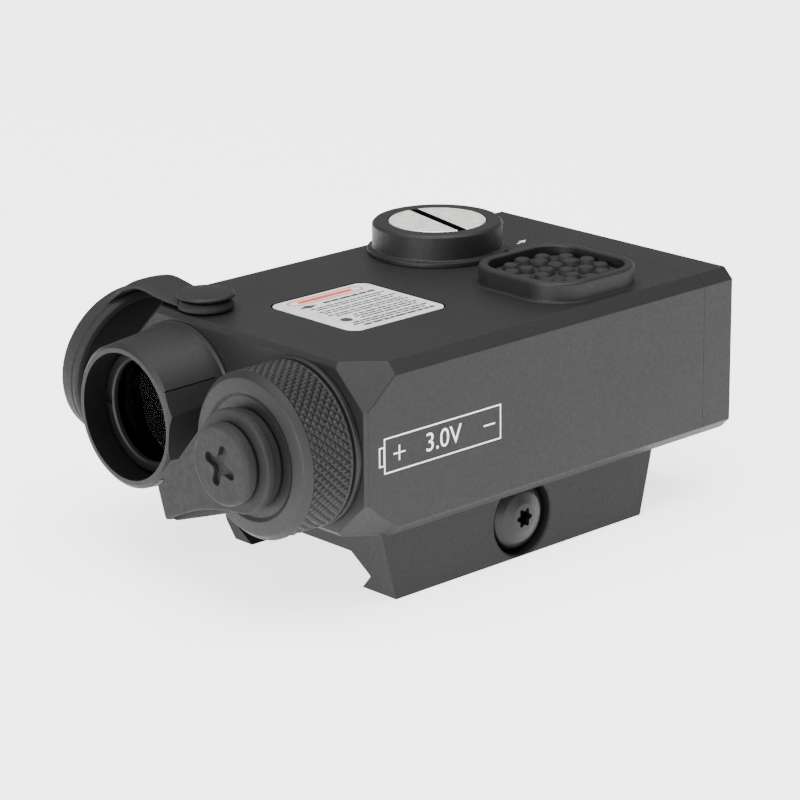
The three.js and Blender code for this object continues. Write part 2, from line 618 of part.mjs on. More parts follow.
function clampScrew() {
  const seat = headSeat + GAP;
  // the thick shank fills the rail's slot, the thread takes the nut
  const shoulder = -RAIL.flat / 2 - RAIL.bevel - 0.8;
  let body = turned([
    [0, nutX - 1.2], [bolt.thread - 0.4, nutX - 1.2], [bolt.thread, nutX - 0.8], [bolt.thread, shoulder],
    [bolt.radius, shoulder], [bolt.radius, seat], [bolt.head, seat], [bolt.head, seat + 1.1],
    [bolt.head - 0.5, seat + 1.75], [bolt.head - 1.5, seat + 2.4], [bolt.head - 3, seat + 2.9],
    [0, seat + 3.1],
  ], 40);
  const star = new THREE.Shape();
  const points = 12;
  for (let i = 0; i < points; i += 1) {
    const reach = i % 2 ? 0.95 : 1.4;
    const angle = (i / points) * 2 * Math.PI;
    star[i ? "lineTo" : "moveTo"](reach * Math.cos(angle), reach * Math.sin(angle));
  }
  body = body.subtract(prism(star, 4).translate([0, 0, seat + 1.2]));
  return rightward(body, 0, bolt.y, bolt.z);
}
add("clamp_screw", "steel", clampScrew());

export default group;
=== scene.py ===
"""A rail-mounted laser aiming unit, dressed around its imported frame.

Pieces are drawn in millimetres in a local frame and placed in metres: +Z up, the beam leaves towards -Y.
"""
import math
import random

import bmesh
import bpy
from mathutils import Matrix, Vector


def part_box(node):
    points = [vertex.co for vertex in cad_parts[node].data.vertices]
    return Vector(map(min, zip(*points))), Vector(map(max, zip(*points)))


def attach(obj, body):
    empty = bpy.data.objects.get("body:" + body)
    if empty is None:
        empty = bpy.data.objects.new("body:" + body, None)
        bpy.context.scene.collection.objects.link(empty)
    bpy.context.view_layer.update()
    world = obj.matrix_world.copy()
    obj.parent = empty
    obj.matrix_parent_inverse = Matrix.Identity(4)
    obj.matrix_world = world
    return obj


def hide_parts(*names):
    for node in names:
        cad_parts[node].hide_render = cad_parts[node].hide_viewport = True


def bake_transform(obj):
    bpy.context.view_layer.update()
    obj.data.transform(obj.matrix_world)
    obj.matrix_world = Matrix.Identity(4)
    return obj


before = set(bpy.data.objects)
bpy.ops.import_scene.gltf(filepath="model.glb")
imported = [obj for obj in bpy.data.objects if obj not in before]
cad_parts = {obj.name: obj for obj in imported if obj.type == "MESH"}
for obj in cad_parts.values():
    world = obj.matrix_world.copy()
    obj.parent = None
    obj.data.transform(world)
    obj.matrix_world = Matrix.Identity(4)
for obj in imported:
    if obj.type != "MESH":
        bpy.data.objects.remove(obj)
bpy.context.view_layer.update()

MM = 0.001


# ---------------- places, in millimetres
def low(node):
    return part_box(node)[0] / MM


def high(node):
    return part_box(node)[1] / MM


def middle(node):
    return (low(node) + high(node)) / 2


LEFT, FRONT, BOTTOM = low("housing")
SEAM = high("housing").y
RIGHT, BACK, TOP = high("rear_cover")
LASER = Vector((middle("laser_tube").x, FRONT, middle("laser_tube").z))
POWER = Vector((middle("battery").x, FRONT, middle("battery").z))
ELEVATION = Vector((LASER.x, middle("elevation_screw").y, TOP))
WINDAGE = Vector((LEFT, ELEVATION.y, LASER.z))
BUTTON = Vector((middle("button_pad").x, middle("button_pad").y, TOP))
POST = Vector((middle("strap_post").x, middle("strap_post").y, TOP))
LABEL = Vector((middle("label_plate").x, middle("label_plate").y, TOP))
BOLT = Vector((0, middle("clamp_nut").y, middle("clamp_nut").z))

# Bases that lay a piece drawn along its own +Z towards another side of the object.
UPWARD = Matrix.Identity(3)
AHEAD = Matrix(((1, 0, 0), (0, 0, -1), (0, 1, 0)))
BACKWARD = Matrix(((-1, 0, 0), (0, 0, 1), (0, 1, 0)))
LEFTWARD = Matrix(((0, 0, -1), (0, 1, 0), (1, 0, 0)))
RIGHTWARD = Matrix(((0, 0, 1), (1, 0, 0), (0, 1, 0)))
DOWNWARD = Matrix(((0, 1, 0), (1, 0, 0), (0, 0, -1)))


def placing(origin, basis=UPWARD):
    """The matrix from a piece's own millimetres to the object's metres."""
    return Matrix.Scale(MM, 4) @ Matrix.Translation(origin) @ basis.to_4x4()


# ---------------- outlines
def rounded(points, steps=4):
    """A closed outline whose (a, b, radius) corners become arcs; (a, b) corners stay sharp."""
    made = []
    for i, point in enumerate(points):
        here = Vector(point[:2])
        radius = point[2] if len(point) > 2 else 0
        back = Vector(points[i - 1][:2]) - here
        on = Vector(points[(i + 1) % len(points)][:2]) - here
        half = back.angle(on, 0) / 2
        if not radius or half < 0.01 or half > math.pi / 2 - 0.01:
            made.append(here)
            continue
        reach = min(radius / math.tan(half), 0.48 * back.length, 0.48 * on.length)
        centre = here + (back.normalized() + on.normalized()).normalized() * reach / math.cos(half)
        start = here + back.normalized() * reach - centre
        end = here + on.normalized() * reach - centre
        turn = start.angle_signed(end)
        made += [centre + Matrix.Rotation(-turn * k / steps, 2) @ start for k in range(steps + 1)]
    return made


def capsule(start, end, width, steps=8):
    """The outline of a slot with round ends between two points."""
    start, end = Vector(start), Vector(end)
    aim = math.atan2(*(end - start).yx)
    points = []
    for centre, first in ((end, aim - math.pi / 2), (start, aim + math.pi / 2)):
        for k in range(steps + 1):
            angle = first + math.pi * k / steps
            points.append(centre + Vector((math.cos(angle), math.sin(angle))) * width / 2)
    return points


def circle(radius, steps=48, centre=(0, 0)):
    angles = [2 * math.pi * k / steps for k in range(steps)]
    return [Vector(centre) + Vector((math.cos(a), math.sin(a))) * radius for a in angles]


def oblong(x0, x1, y0, y1):
    return [(x0, y0), (x1, y0), (x1, y1), (x0, y1)]


def rounded_square(half, corner, steps=8):
    return rounded([(half * x, half * y, corner) for x, y in ((1, 1), (-1, 1), (-1, -1), (1, -1))], steps)


# ---------------- meshes
def new_object(name, mesh_maker, matrix):
    mesh_maker.transform(matrix)
    bmesh.ops.recalc_face_normals(mesh_maker, faces=mesh_maker.faces)
    mesh = bpy.data.meshes.new(name)
    mesh_maker.to_mesh(mesh)
    mesh_maker.free()
    made = bpy.data.objects.new(name, mesh)
    bpy.context.scene.collection.objects.link(made)
    return made


def lathe(name, outline, matrix, steps=96, spread=0, shape=None):
    """Turns a closed (radius, along) outline about the local Z axis.

    spread pushes the four quarters apart, which turns a circle into a rounded square.
    shape(angle, radius, along) may give back another radius.
    """
    bm = bmesh.new()
    rings = []
    for radius, along in outline:
        if radius < 1e-6:
            rings.append([bm.verts.new((0, 0, along))])
            continue
        ring = []
        for k in range(steps):
            angle = 2 * math.pi * (k + 0.5) / steps
            reach = shape(angle, radius, along) if shape else radius
            x, y = reach * math.cos(angle), reach * math.sin(angle)
            ring.append(bm.verts.new((x + math.copysign(spread, x), y + math.copysign(spread, y), along)))
        rings.append(ring)
    for a, b in zip(rings, rings[1:] + rings[:1]):
        if len(a) == 1 and len(b) == 1:
            continue
        for k in range(steps):
            n = (k + 1) % steps
            corners = [a[0]] if len(a) == 1 else [a[k], a[n]]
            corners += [b[0]] if len(b) == 1 else [b[n], b[k]]
            bm.faces.new(corners)
    return new_object(name, bm, matrix)


def soften(bm, width, segments=2, limit=25, keep_y=None):
    """Rounds every edge sharper than limit degrees, apart from those that lie at keep_y."""
    sharp = [e for e in bm.edges if len(e.link_faces) == 2 and math.degrees(e.calc_face_angle(0)) > limit]
    if keep_y is not None:
        sharp = [e for e in sharp if any(abs(v.co.y - keep_y) > 0.01 for v in e.verts)]
    if sharp and width:
        bmesh.ops.bevel(bm, geom=sharp, offset=width, segments=segments, profile=0.5, affect="EDGES",
                        clamp_overlap=True)


def extruded(corners, run):
    """A mesh of one face with these corners, drawn out along run."""
    bm = bmesh.new()
    face = bm.faces.new([bm.verts.new(corner) for corner in corners])
    grown = bmesh.ops.extrude_face_region(bm, geom=[face])
    moved = [v for v in grown["geom"] if isinstance(v, bmesh.types.BMVert)]
    bmesh.ops.translate(bm, verts=moved, vec=run)
    return bm


def prism(name, outline, z0, z1, matrix, edge=0.0, segments=2):
    """An outline in the local XY plane, run from z0 to z1, its edges rounded by edge."""
    bm = extruded([(x, y, z0) for x, y in outline], (0, 0, z1 - z0))
    soften(bm, edge, segments)
    return new_object(name, bm, matrix)


def slice_off(bm, point, normal):
    """Cuts away what lies beyond a plane and closes the cut."""
    everything = bm.verts[:] + bm.edges[:] + bm.faces[:]
    cut = bmesh.ops.bisect_plane(bm, geom=everything, dist=1e-5, plane_co=point, plane_no=normal,
                                 clear_outer=True)
    rim = [e for e in cut["geom_cut"] if isinstance(e, bmesh.types.BMEdge)]
    if rim:
        bmesh.ops.edgeloop_fill(bm, edges=rim)


def block(name, x0, x1, y0, y1, z0, z1, matrix=placing((0, 0, 0)), edge=0.0):
    return prism(name, oblong(x0, x1, y0, y1), z0, z1, matrix, edge)


def bake(target):
    """Applies a piece's modifiers to its mesh."""
    graph = bpy.context.evaluated_depsgraph_get()
    mesh = bpy.data.meshes.new_from_object(target.evaluated_get(graph))
    target.modifiers.clear()
    target.data = mesh


def combine(target, operation, *tools):
    """Joins tools to target (UNION) or cuts them out of it (DIFFERENCE), and removes them."""
    for tool in tools:
        step = target.modifiers.new("boolean", "BOOLEAN")
        step.operation = operation
        step.object = tool
        step.solver = "EXACT"
        bake(target)
        bpy.data.objects.remove(tool)
    return target


def smooth(target, limit=32):
    """Smooth shading that keeps edges sharper than limit, with flat faces left flat."""
    target.data.shade_smooth()
    target.data.set_sharp_from_angle(angle=math.radians(limit))
    weighted = target.modifiers.new("weighted", "WEIGHTED_NORMAL")
    weighted.keep_sharp = True
    return target


def mould(target, voxel, rounds):
    """Softens a piece all over, as moulded rubber is."""
    even = target.modifiers.new("even", "REMESH")
    even.mode = "VOXEL"
    even.voxel_size = voxel * MM
    soft = target.modifiers.new("soft", "SMOOTH")
    soft.factor = 0.5
    soft.iterations = rounds
    bake(target)
    target.data.shade_smooth()


# ---------------- materials
class Shader:
    """A Principled material and short ways to add noise, bump and colour variation to it."""

    def __init__(self, name, color, roughness, metallic=0.0, **more):
        self.material = bpy.data.materials.new(name)
        self.material.use_nodes = True
        self.nodes = self.material.node_tree.nodes
        self.links = self.material.node_tree.links
        self.body = self.nodes["Principled BSDF"]
        self.set("Base Color", (*color, 1))
        self.set("Roughness", roughness)
        self.set("Metallic", metallic)
        for socket, value in more.items():
            self.set(socket.replace("_", " "), value)
        self.place = self.nodes.new("ShaderNodeTexCoord").outputs["Object"]

    def set(self, socket, value):
        self.body.inputs[socket].default_value = value

    def noise(self, size_mm, detail=3.0, stretch=(1, 1, 1)):
        """Noise whose features are about size_mm across."""
        scaled = self.nodes.new("ShaderNodeMapping")
        scaled.inputs["Scale"].default_value = stretch
        self.links.new(self.place, scaled.inputs["Vector"])
        noise = self.nodes.new("ShaderNodeTexNoise")
        noise.inputs["Scale"].default_value = 1 / (size_mm * MM)
        noise.inputs["Detail"].default_value = detail
        self.links.new(scaled.outputs["Vector"], noise.inputs["Vector"])
        return noise.outputs["Fac"]

    def between(self, value, low_value, high_value, from_low=0.3, from_high=0.7):
        """Maps a value's middle range to another range."""
        mapped = self.nodes.new("ShaderNodeMapRange")
        for socket, number in (("From Min", from_low), ("From Max", from_high), ("To Min", low_value),
                               ("To Max", high_value)):
            mapped.inputs[socket].default_value = number
        self.links.new(value, mapped.inputs["Value"])
        return mapped.outputs["Result"]

    def vary_roughness(self, value, low_value, high_value):
        self.links.new(self.between(value, low_value, high_value), self.body.inputs["Roughness"])
        return self

    def vary_color(self, value, dark, light):
        mixed = self.nodes.new("ShaderNodeMix")
        mixed.data_type = "RGBA"
        self.links.new(self.between(value, 0, 1), mixed.inputs["Factor"])
        mixed.inputs["A"].default_value = (*dark, 1)
        mixed.inputs["B"].default_value = (*light, 1)
        self.links.new(mixed.outputs["Result"], self.body.inputs["Base Color"])
        return self

    def bump(self, height, depth_mm, strength=1.0):
        bump = self.nodes.new("ShaderNodeBump")
        bump.inputs["Distance"].default_value = depth_mm * MM
        bump.inputs["Strength"].default_value = strength
        self.links.new(height, bump.inputs["Height"])
        if self.body.inputs["Normal"].is_linked:
            self.links.new(self.body.inputs["Normal"].links[0].from_socket, bump.inputs["Normal"])
        self.links.new(bump.outputs["Normal"], self.body.inputs["Normal"])
        return self


def grey(value, warmth=0.0):
    return (value * (1 + warmth), value, value * (1 - warmth))


def blasted_metal(name, value, roughness=0.55, grain=0.16, depth=0.016, metallic=0.7, **more):
    """Bead-blasted and anodised aluminium: a fine even grain, and slow changes of tone."""
    look = Shader(name, grey(value), roughness, metallic, **more)
    look.vary_color(look.noise(14, 2), grey(value * 0.95), grey(value * 1.05))
    look.vary_roughness(look.noise(grain * 3, 3), roughness - 0.05, roughness + 0.06)
    return look.bump(look.noise(grain, 2), depth, 0.6).material


def moulded_rubber(name, value, roughness=0.72):
    """Moulded rubber: a soft sheen, fine texture and a slow mottling."""
    look = Shader(name, grey(value), roughness, 0.0, Specular_IOR_Level=0.25)
    look.vary_color(look.noise(5, 4), grey(value * 0.92), grey(value * 1.08))
    look.vary_roughness(look.noise(0.8, 4), roughness - 0.07, roughness + 0.07)
    return look.bump(look.noise(0.22, 4), 0.012, 0.6).material


def turned_metal(name, color, roughness, centre, axis=2, pitch_mm=0.11, depth=0.004):
    """Bare metal with the fine rings that a lathe leaves about an axis through centre."""
    look = Shader(name, color, roughness, 1.0)
    moved = look.nodes.new("ShaderNodeMapping")
    moved.inputs["Location"].default_value = [-c * MM for c in centre]
    flat = [1.0, 1.0, 1.0]
    flat[axis] = 0.0
    moved.vector_type = "POINT"
    look.links.new(look.place, moved.inputs["Vector"])
    onto = look.nodes.new("ShaderNodeVectorMath")
    onto.operation = "MULTIPLY"
    onto.inputs[1].default_value = flat
    look.links.new(moved.outputs["Vector"], onto.inputs[0])
    far = look.nodes.new("ShaderNodeVectorMath")
    far.operation = "LENGTH"
    look.links.new(onto.outputs["Vector"], far.inputs[0])
    wave = look.nodes.new("ShaderNodeMath")
    wave.operation = "SINE"
    times = look.nodes.new("ShaderNodeMath")
    times.operation = "MULTIPLY"
    times.inputs[1].default_value = 2 * math.pi / (pitch_mm * MM)
    look.links.new(far.outputs["Value"], times.inputs[0])
    look.links.new(times.outputs["Value"], wave.inputs[0])
    look.vary_roughness(look.noise(1.5, 3), roughness - 0.05, roughness + 0.08)
    return look.bump(wave.outputs["Value"], depth, 0.5).material


def plain(name, color, roughness, metallic=0.0, size_mm=1.0, **more):
    """A finish with a little mottling, for small inner pieces."""
    look = Shader(name, color, roughness, metallic, **more)
    look.vary_color(look.noise(size_mm, 3), [c * 0.9 for c in color], [c * 1.1 for c in color])
    return look.vary_roughness(look.noise(size_mm / 2, 2), roughness * 0.9, roughness * 1.1).material


ANODISED = blasted_metal("anodised", 0.021)
MOUNT_FINISH = blasted_metal("anodised_mount", 0.016, roughness=0.62, depth=0.012)
# A near-black matte copy of the anodised finish: painted shade for the bore, the slots and what sits deep
# in the barrel.
PAINTED_SHADE = blasted_metal("painted_shade_black", 0.004, metallic=0.0, Specular_IOR_Level=0.12)
STEEL = blasted_metal("blackened_steel", 0.022, roughness=0.38, grain=0.25, metallic=0.8)
RUBBER = moulded_rubber("rubber", 0.011)
SOFT_RUBBER = moulded_rubber("pad_rubber", 0.012)
SEAL = moulded_rubber("seal_rubber", 0.01, 0.5)
SILVER_TOP = turned_metal("turned_disc", (0.92, 0.91, 0.88), 0.55, ELEVATION, depth=0.0015)
SILVER_SIDE = turned_metal("turned_disc_side", (0.92, 0.91, 0.88), 0.55, WINDAGE, axis=0, depth=0.0015)
BRASS = turned_metal("turned_brass", (0.65, 0.47, 0.2), 0.32, LASER, axis=1, pitch_mm=0.3)
SPRING = plain("spring_wire", (0.7, 0.7, 0.68), 0.3, 1.0)
BOARD = plain("circuit_board", (0.02, 0.13, 0.06), 0.45, size_mm=0.6)
CHIP = plain("chip_package", (0.02, 0.02, 0.022), 0.5, size_mm=0.3)
WRAP = plain("cell_wrap", (0.03, 0.08, 0.3), 0.25, size_mm=6, Coat_Weight=0.5)
WHITE = plain("label_white", (0.6, 0.605, 0.62), 0.45, size_mm=2)
INK = plain("label_ink", (0.03, 0.03, 0.035), 0.5, size_mm=0.3)
RED_INK = plain("label_red", (0.62, 0.05, 0.02), 0.5, size_mm=0.3)
PAINT = plain("white_paint", (0.8, 0.8, 0.8), 0.5, size_mm=0.4)
# The coating on the window leaves almost no reflection, hence the low index.
GLASS = plain("coated_glass", (0.5, 0.5, 0.56), 0.03, size_mm=8, Transmission_Weight=1.0, IOR=1.06)
# Near black: painted shade on the lens deep inside the barrel.
LENS_PAINTED_SHADE = plain("lens_painted_shade", (0.012, 0.01, 0.016), 0.06, size_mm=4, Transmission_Weight=0.5, IOR=1.4,
             Specular_IOR_Level=0.3)
# A dark copy of the turned brass: painted shade on the laser tube deep inside the barrel.
BRASS_PAINTED_SHADE = turned_metal("brass_painted_shade", (0.16, 0.15, 0.14), 0.35, LASER, axis=1, pitch_mm=0.3)


def two_tone(target, main, other, is_other):
    """Gives a piece two finishes; is_other(centre, normal) says which faces take the second."""
    target.data.materials.append(main)
    target.data.materials.append(other)
    for polygon in target.data.polygons:
        polygon.material_index = int(is_other(polygon.center, polygon.normal))


def dress(target, body, material, slot, *nodes):
    """Gives a piece its finish, its body and the CAD nodes that it stands for."""
    if not target.data.materials:
        target.data.materials.append(material)
    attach(target, body)
    if nodes:
        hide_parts(*nodes)
    return target


# ---------------- camera, light and floor
def camera():
    """Looks from the front right and a little above, as a long lens does."""
    data = bpy.data.cameras.new("camera")
    data.lens = 143.29
    data.clip_start, data.clip_end = 0.02, 20
    made = bpy.data.objects.new("camera", data)
    azimuth, height, roll = math.radians(47.116), math.radians(17.679), math.radians(-0.602)
    level = math.cos(height)
    aim = Vector((-math.sin(azimuth) * level, math.cos(azimuth) * level, -math.sin(height)))
    made.rotation_mode = "QUATERNION"
    upright = aim.to_track_quat("-Z", "Y")
    made.rotation_quaternion = upright @ Matrix.Rotation(roll, 3, "Z").to_quaternion()
    made.location = Vector((291.78, -268.88, 141.79)) * MM
    bpy.context.scene.collection.objects.link(made)
    bpy.context.scene.camera = made


def area_light(name, place, size, watts, aim=(0, 0, 0.01)):
    data = bpy.data.lights.new(name, "AREA")
    data.shape = "RECTANGLE"
    data.size, data.size_y = size
    data.energy = watts
    made = bpy.data.objects.new(name, data)
    made.location = place
    made.rotation_mode = "QUATERNION"
    made.rotation_quaternion = (Vector(aim) - made.location).to_track_quat("-Z", "Y")
    bpy.context.scene.collection.objects.link(made)


def studio():
    """A pale floor that glows, a pale world and two soft lamps."""
    bm = bmesh.new()
    bmesh.ops.create_grid(bm, x_segments=1, y_segments=1, size=6)
    ground = placing((0, 0, low("mount_base").z)) @ Matrix.Scale(1 / MM, 4)
    floor = new_object("floor", bm, ground)
    pale = Shader("floor_pale", (0.9, 0.9, 0.9), 0.9)
    pale.vary_color(pale.noise(300, 2), (0.88, 0.88, 0.88), (0.92, 0.92, 0.92))
    pale.set("Emission Color", (1, 1, 1, 1))
    pale.set("Emission Strength", 2.3)
    floor.data.materials.append(pale.material)
    world = bpy.data.worlds.new("studio")
    world.use_nodes = True
    world.node_tree.nodes["Background"].inputs["Color"].default_value = (1, 1, 1, 1)
    world.node_tree.nodes["Background"].inputs["Strength"].default_value = 0.5
    bpy.context.scene.world = world
    area_light("key", place=(0.1, -0.1, 1.4), size=(1.6, 1.6), watts=48)
    area_light("front", place=(0.3, -1.15, 0.22), size=(0.5, 0.4), watts=17)


camera()
studio()

# ---------------- housing and rear cover
LONG_EDGE = 1.5  # chamfer of the four long edges
FACET = Vector((6.1, 6.9, 5.7))  # where the front corner facets cut the three edges
SIDE_LIP, LEVEL_LIP = 0.41, 0.66  # chamfers of the front face's own edges
SKIN = 0.12  # radius of every machined edge
SEAM_GAP = 0.04  # the fine line between the housing and its rear cover
WALL = {"side": 2.6, "level": 2.4, "front": 4.5}  # around the hollows of the housing
BAY_START = 46  # from the front face back to the electronics bay
BAFFLE_START = 13.1  # from the battery's axis to the wall between it and the laser
COUNTERBORE = [(0, -6), (1.5, -6), (1.5, -2.4), (2.7, -2.4), (2.7, -0.2), (2.95, 0.05), (2.95, 1), (0, 1)]


def box_section():
    e = LONG_EDGE
    return [(LEFT + e, BOTTOM), (RIGHT - e, BOTTOM), (RIGHT, BOTTOM + e), (RIGHT, TOP - e),
            (RIGHT - e, TOP), (LEFT + e, TOP), (LEFT, TOP - e), (LEFT, BOTTOM + e)]


def box_body(name, y0, y1, facets):
    """The chamfered box section run from y0 back to y1; facets cut the front corners."""
    bm = extruded([(x, y0, z) for x, z in box_section()], (0, y1 - y0, 0))
    bmesh.ops.recalc_face_normals(bm, faces=bm.faces)
    if facets:
        for sx, x in ((1, RIGHT), (-1, LEFT)):
            slice_off(bm, (x - sx * SIDE_LIP, FRONT, 0), (sx, -1, 0))
            for sz, z in ((1, TOP), (-1, BOTTOM)):
                slice_off(bm, (x - sx * FACET.x, FRONT, z), (sx / FACET.x, -1 / FACET.y, sz / FACET.z))
        for sz, z in ((1, TOP), (-1, BOTTOM)):
            slice_off(bm, (0, FRONT, z - sz * LEVEL_LIP), (0, -1, sz))
    soften(bm, SKIN, 2, 12, y1 if facets else y0)
    return new_object(name, bm, placing((0, 0, 0)))


GUARD = {"spread": 3.5, "outer": 5.5, "inner": 4.15, "height": 2.75}


def housing():
    body = box_body("housing_shell", FRONT, SEAM, True)
    outer, inner, tall = GUARD["outer"], GUARD["inner"], GUARD["height"]
    wall = rounded([(outer + 0.75, -0.5), (outer + 0.75, 0.0), (outer, 0.05, 0.55), (outer, tall, 0.45),
                    (inner, tall, 0.3), (inner, -0.5)], 5)
    guard = lathe("guard", wall, placing(BUTTON), 96, GUARD["spread"])
    combine(body, "UNION", guard)
    hollow = [(0, -1.8), (inner, -1.8), (inner, 6), (0, 6)]
    well = lathe("well", hollow, placing(BUTTON), 96, GUARD["spread"])

    left, right, end = LEFT + WALL["side"], RIGHT - WALL["side"], SEAM + 1
    inside = (BOTTOM + WALL["level"], TOP - WALL["level"])
    cavity = block("cavity", left, POWER.x - BAFFLE_START, FRONT + WALL["front"], end, *inside)
    bay = block("bay", left, right, FRONT + BAY_START, end, *inside)
    bore = lathe("bore", [(0, -44), (8.9, -44), (8.9, -5.6), (9.9, -5.6), (9.9, -0.3), (10.2, 0),
                          (10.2, 2), (0, 2)], placing(POWER, AHEAD), 96)
    spigot = lathe("spigot", [(0, -6), (7.1, -6), (7.1, 2), (0, 2)], placing(LASER, AHEAD), 64)
    seat = [(0, -4), (5.3, -4), (5.3, 2), (0, 2)]
    seats = [lathe("seat", seat, placing(ELEVATION), 64),
             lathe("seat", seat, placing(WINDAGE, LEFTWARD), 64)]
    post = lathe("post", [(0, -1.8), (1.5, -1.8), (1.5, 2), (0, 2)], placing(POST), 48)
    recess = prism("recess", rounded_square(8.7, 2), -0.6, 2, placing(LABEL))
    relief = lathe("relief", [(0, 12), (5.2, 12), (5.2, 15), (0, 15)], placing(BOLT, RIGHTWARD), 96)
    combine(body, "DIFFERENCE", well, cavity, bay, bore, spigot, *seats, post, recess, relief)
    return dress(smooth(body), "housing", ANODISED, "anodised", "housing")


def rear_cover():
    cover = box_body("rear_cover_plate", SEAM + SEAM_GAP, BACK, False)
    for i in range(1, 5):
        place = middle(f"cover_screw_{i}")
        place.y = BACK
        combine(cover, "DIFFERENCE", lathe("sunk", COUNTERBORE, placing(place, BACKWARD), 48))
    return dress(smooth(cover), "housing", ANODISED, "anodised", "rear_cover")


housing()
rear_cover()

# ---------------- cap screws
COVER_SCREW = {"head": 2.3, "tall": 1.6, "shank": 1.25, "long": 9.5, "socket": 1.15}
MOUNT_SCREW = {"head": 2.8, "tall": 1.4, "shank": 1.4, "long": 9.3, "socket": 1.25}


def cap_screw(name, node, place, basis, head, tall, shank, long, socket):
    """A socket cap screw, its head standing on the place given."""
    outline = rounded([(0, -long), (shank, -long, 0.2), (shank, 0), (head, 0, 0.1), (head, tall, 0.25),
                       (0, tall)], 3)
    screw = lathe(name, outline, placing(place, basis), 48)
    hexagon = prism("hexagon", circle(socket, 6), tall * 0.35, tall + 1, placing(place, basis))
    combine(screw, "DIFFERENCE", hexagon)
    return dress(smooth(screw), "housing", STEEL, "steel", node)


for number in range(1, 5):
    threaded = f"cover_screw_{number}"
    stand = middle(threaded)
    stand.y = high(threaded).y - COVER_SCREW["tall"]
    cap_screw(f"cover_cap_screw_{number}", threaded, stand, BACKWARD, **COVER_SCREW)
for number in (1, 2):
    threaded = f"mount_screw_{number}"
    stand = middle(threaded)
    stand.z = low(threaded).z + MOUNT_SCREW["tall"]
    cap_screw(f"mount_cap_screw_{number}", threaded, stand, DOWNWARD, **MOUNT_SCREW)

# ---------------- laser barrel, window and module
BARREL_REACH = FRONT - low("front_barrel").y
# Each flat's span in degrees above the horizontal, its distance from the axis at the rim, how much that
# grows for each millimetre back, and how many degrees its two ends run on.
BARREL_FLATS = [
    (12, 32.5, 9.36, 0.1, (15, 0)),
    (-24, 12, 9.05, 0.058, (15, 15)),
    (-48, -24, 9.32, 0.07, (0, 15)),
    (98, 126, 9.42, 0.1, (0, 0)),
]


def flat_cutter(first, last, reach, growth, spread):
    """A wedge whose inner face is one flat; spread lets it run on past its neighbours' edges."""
    middle_angle = math.radians((first + last) / 2)
    bm = bmesh.new()
    rings = []
    for along in (1.2, BARREL_REACH + 1):
        near = reach + growth * (BARREL_REACH - along)
        ring = []
        start, stop = first - spread[0], last + spread[1]
        for degrees, far in ((start, 1), (start, 2), (stop, 2), (stop, 1)):
            angle = math.radians(degrees)
            radius = near / math.cos(angle - middle_angle) * far
            ring.append(bm.verts.new((radius * math.cos(angle), radius * math.sin(angle), along)))
        rings.append(ring)
    for k in range(4):
        n = (k + 1) % 4
        bm.faces.new((rings[0][k], rings[0][n], rings[1][n], rings[1][k]))
    bm.faces.new(rings[0])
    bm.faces.new(rings[1])
    return new_object("flat", bm, placing(LASER, AHEAD))


def front_barrel():
    face = BARREL_REACH
    outline = rounded([
        (6.8, -4.6), (6.8, 0), (10.75, 0, 0.1), (10.75, 0.35, 0.1), (10.4, 0.55, 0.1),
        (9.63, face - 0.5, 0.05), (9.1, face, 0.05), (8.47, face, 0.04), (8.47, 6.5), (8.7, 6.3),
        (8.7, 2.4), (5.9, 2.4), (5.9, -4.6),
    ], 3)
    barrel = lathe("laser_barrel", outline, placing(LASER, AHEAD), 144)
    combine(barrel, "DIFFERENCE", *[flat_cutter(*flat) for flat in BARREL_FLATS])
    step = Matrix.Rotation(math.radians(BARREL_FLATS[0][1]), 3, "Z")
    tip = Matrix.Rotation(math.radians(9), 3, "Y")  # the groove runs out of the surface towards the back
    groove = block("groove", 7.8, 10.4, -0.15, 0.0, 3.2, 11, placing(LASER, AHEAD @ step @ tip))
    combine(barrel, "DIFFERENCE", groove)

    def bore_in_painted_shade(centre, _):
        """The bore and what stands inside the housing, but not the rim: these take the painted shade."""
        at = centre / MM - LASER
        return (math.hypot(at.x, at.z) < 8.55 or -at.y < 0) and -at.y < face - 0.02

    # The bore is painted near-black as shade; the rim keeps the anodised finish.
    two_tone(barrel, ANODISED, PAINTED_SHADE, bore_in_painted_shade)
    return dress(smooth(barrel, 8), "housing", ANODISED, "anodised", "front_barrel")


def window():
    back = FRONT - high("front_window").y
    edge = rounded([(0, back), (8.15, back, 0.15), (8.15, back + 1.5, 0.15), (0, back + 1.5)], 2)
    pane = smooth(lathe("window_glass", edge, placing(LASER, AHEAD), 96))
    dress(pane, "housing", GLASS, "glass", "front_window")
    start = FRONT - high("window_ring").y
    ring = rounded([(6.9, start), (8.15, start), (8.15, start + 0.8, 0.1), (7.15, start + 0.8, 0.1),
                    (6.9, start + 0.55, 0.05)], 3)
    made = lathe("window_retaining_ring", ring, placing(LASER, AHEAD), 96)
    for side in (-1, 1):
        notch = oblong(7.1 * side, 8.6 * side, -0.6, 0.6)
        combine(made, "DIFFERENCE", prism("notch", notch, start + 0.45, start + 2, placing(LASER, AHEAD)))

    def faces_axis(centre, _):
        at = centre / MM - LASER
        return math.hypot(at.x, at.z) < 7.1

    # The ring is painted near-black as the shade inside the barrel; only its inner edge keeps the anodised
    # finish.
    two_tone(made, PAINTED_SHADE, ANODISED, faces_axis)
    dress(smooth(made), "housing", PAINTED_SHADE, "anodised", "window_ring")


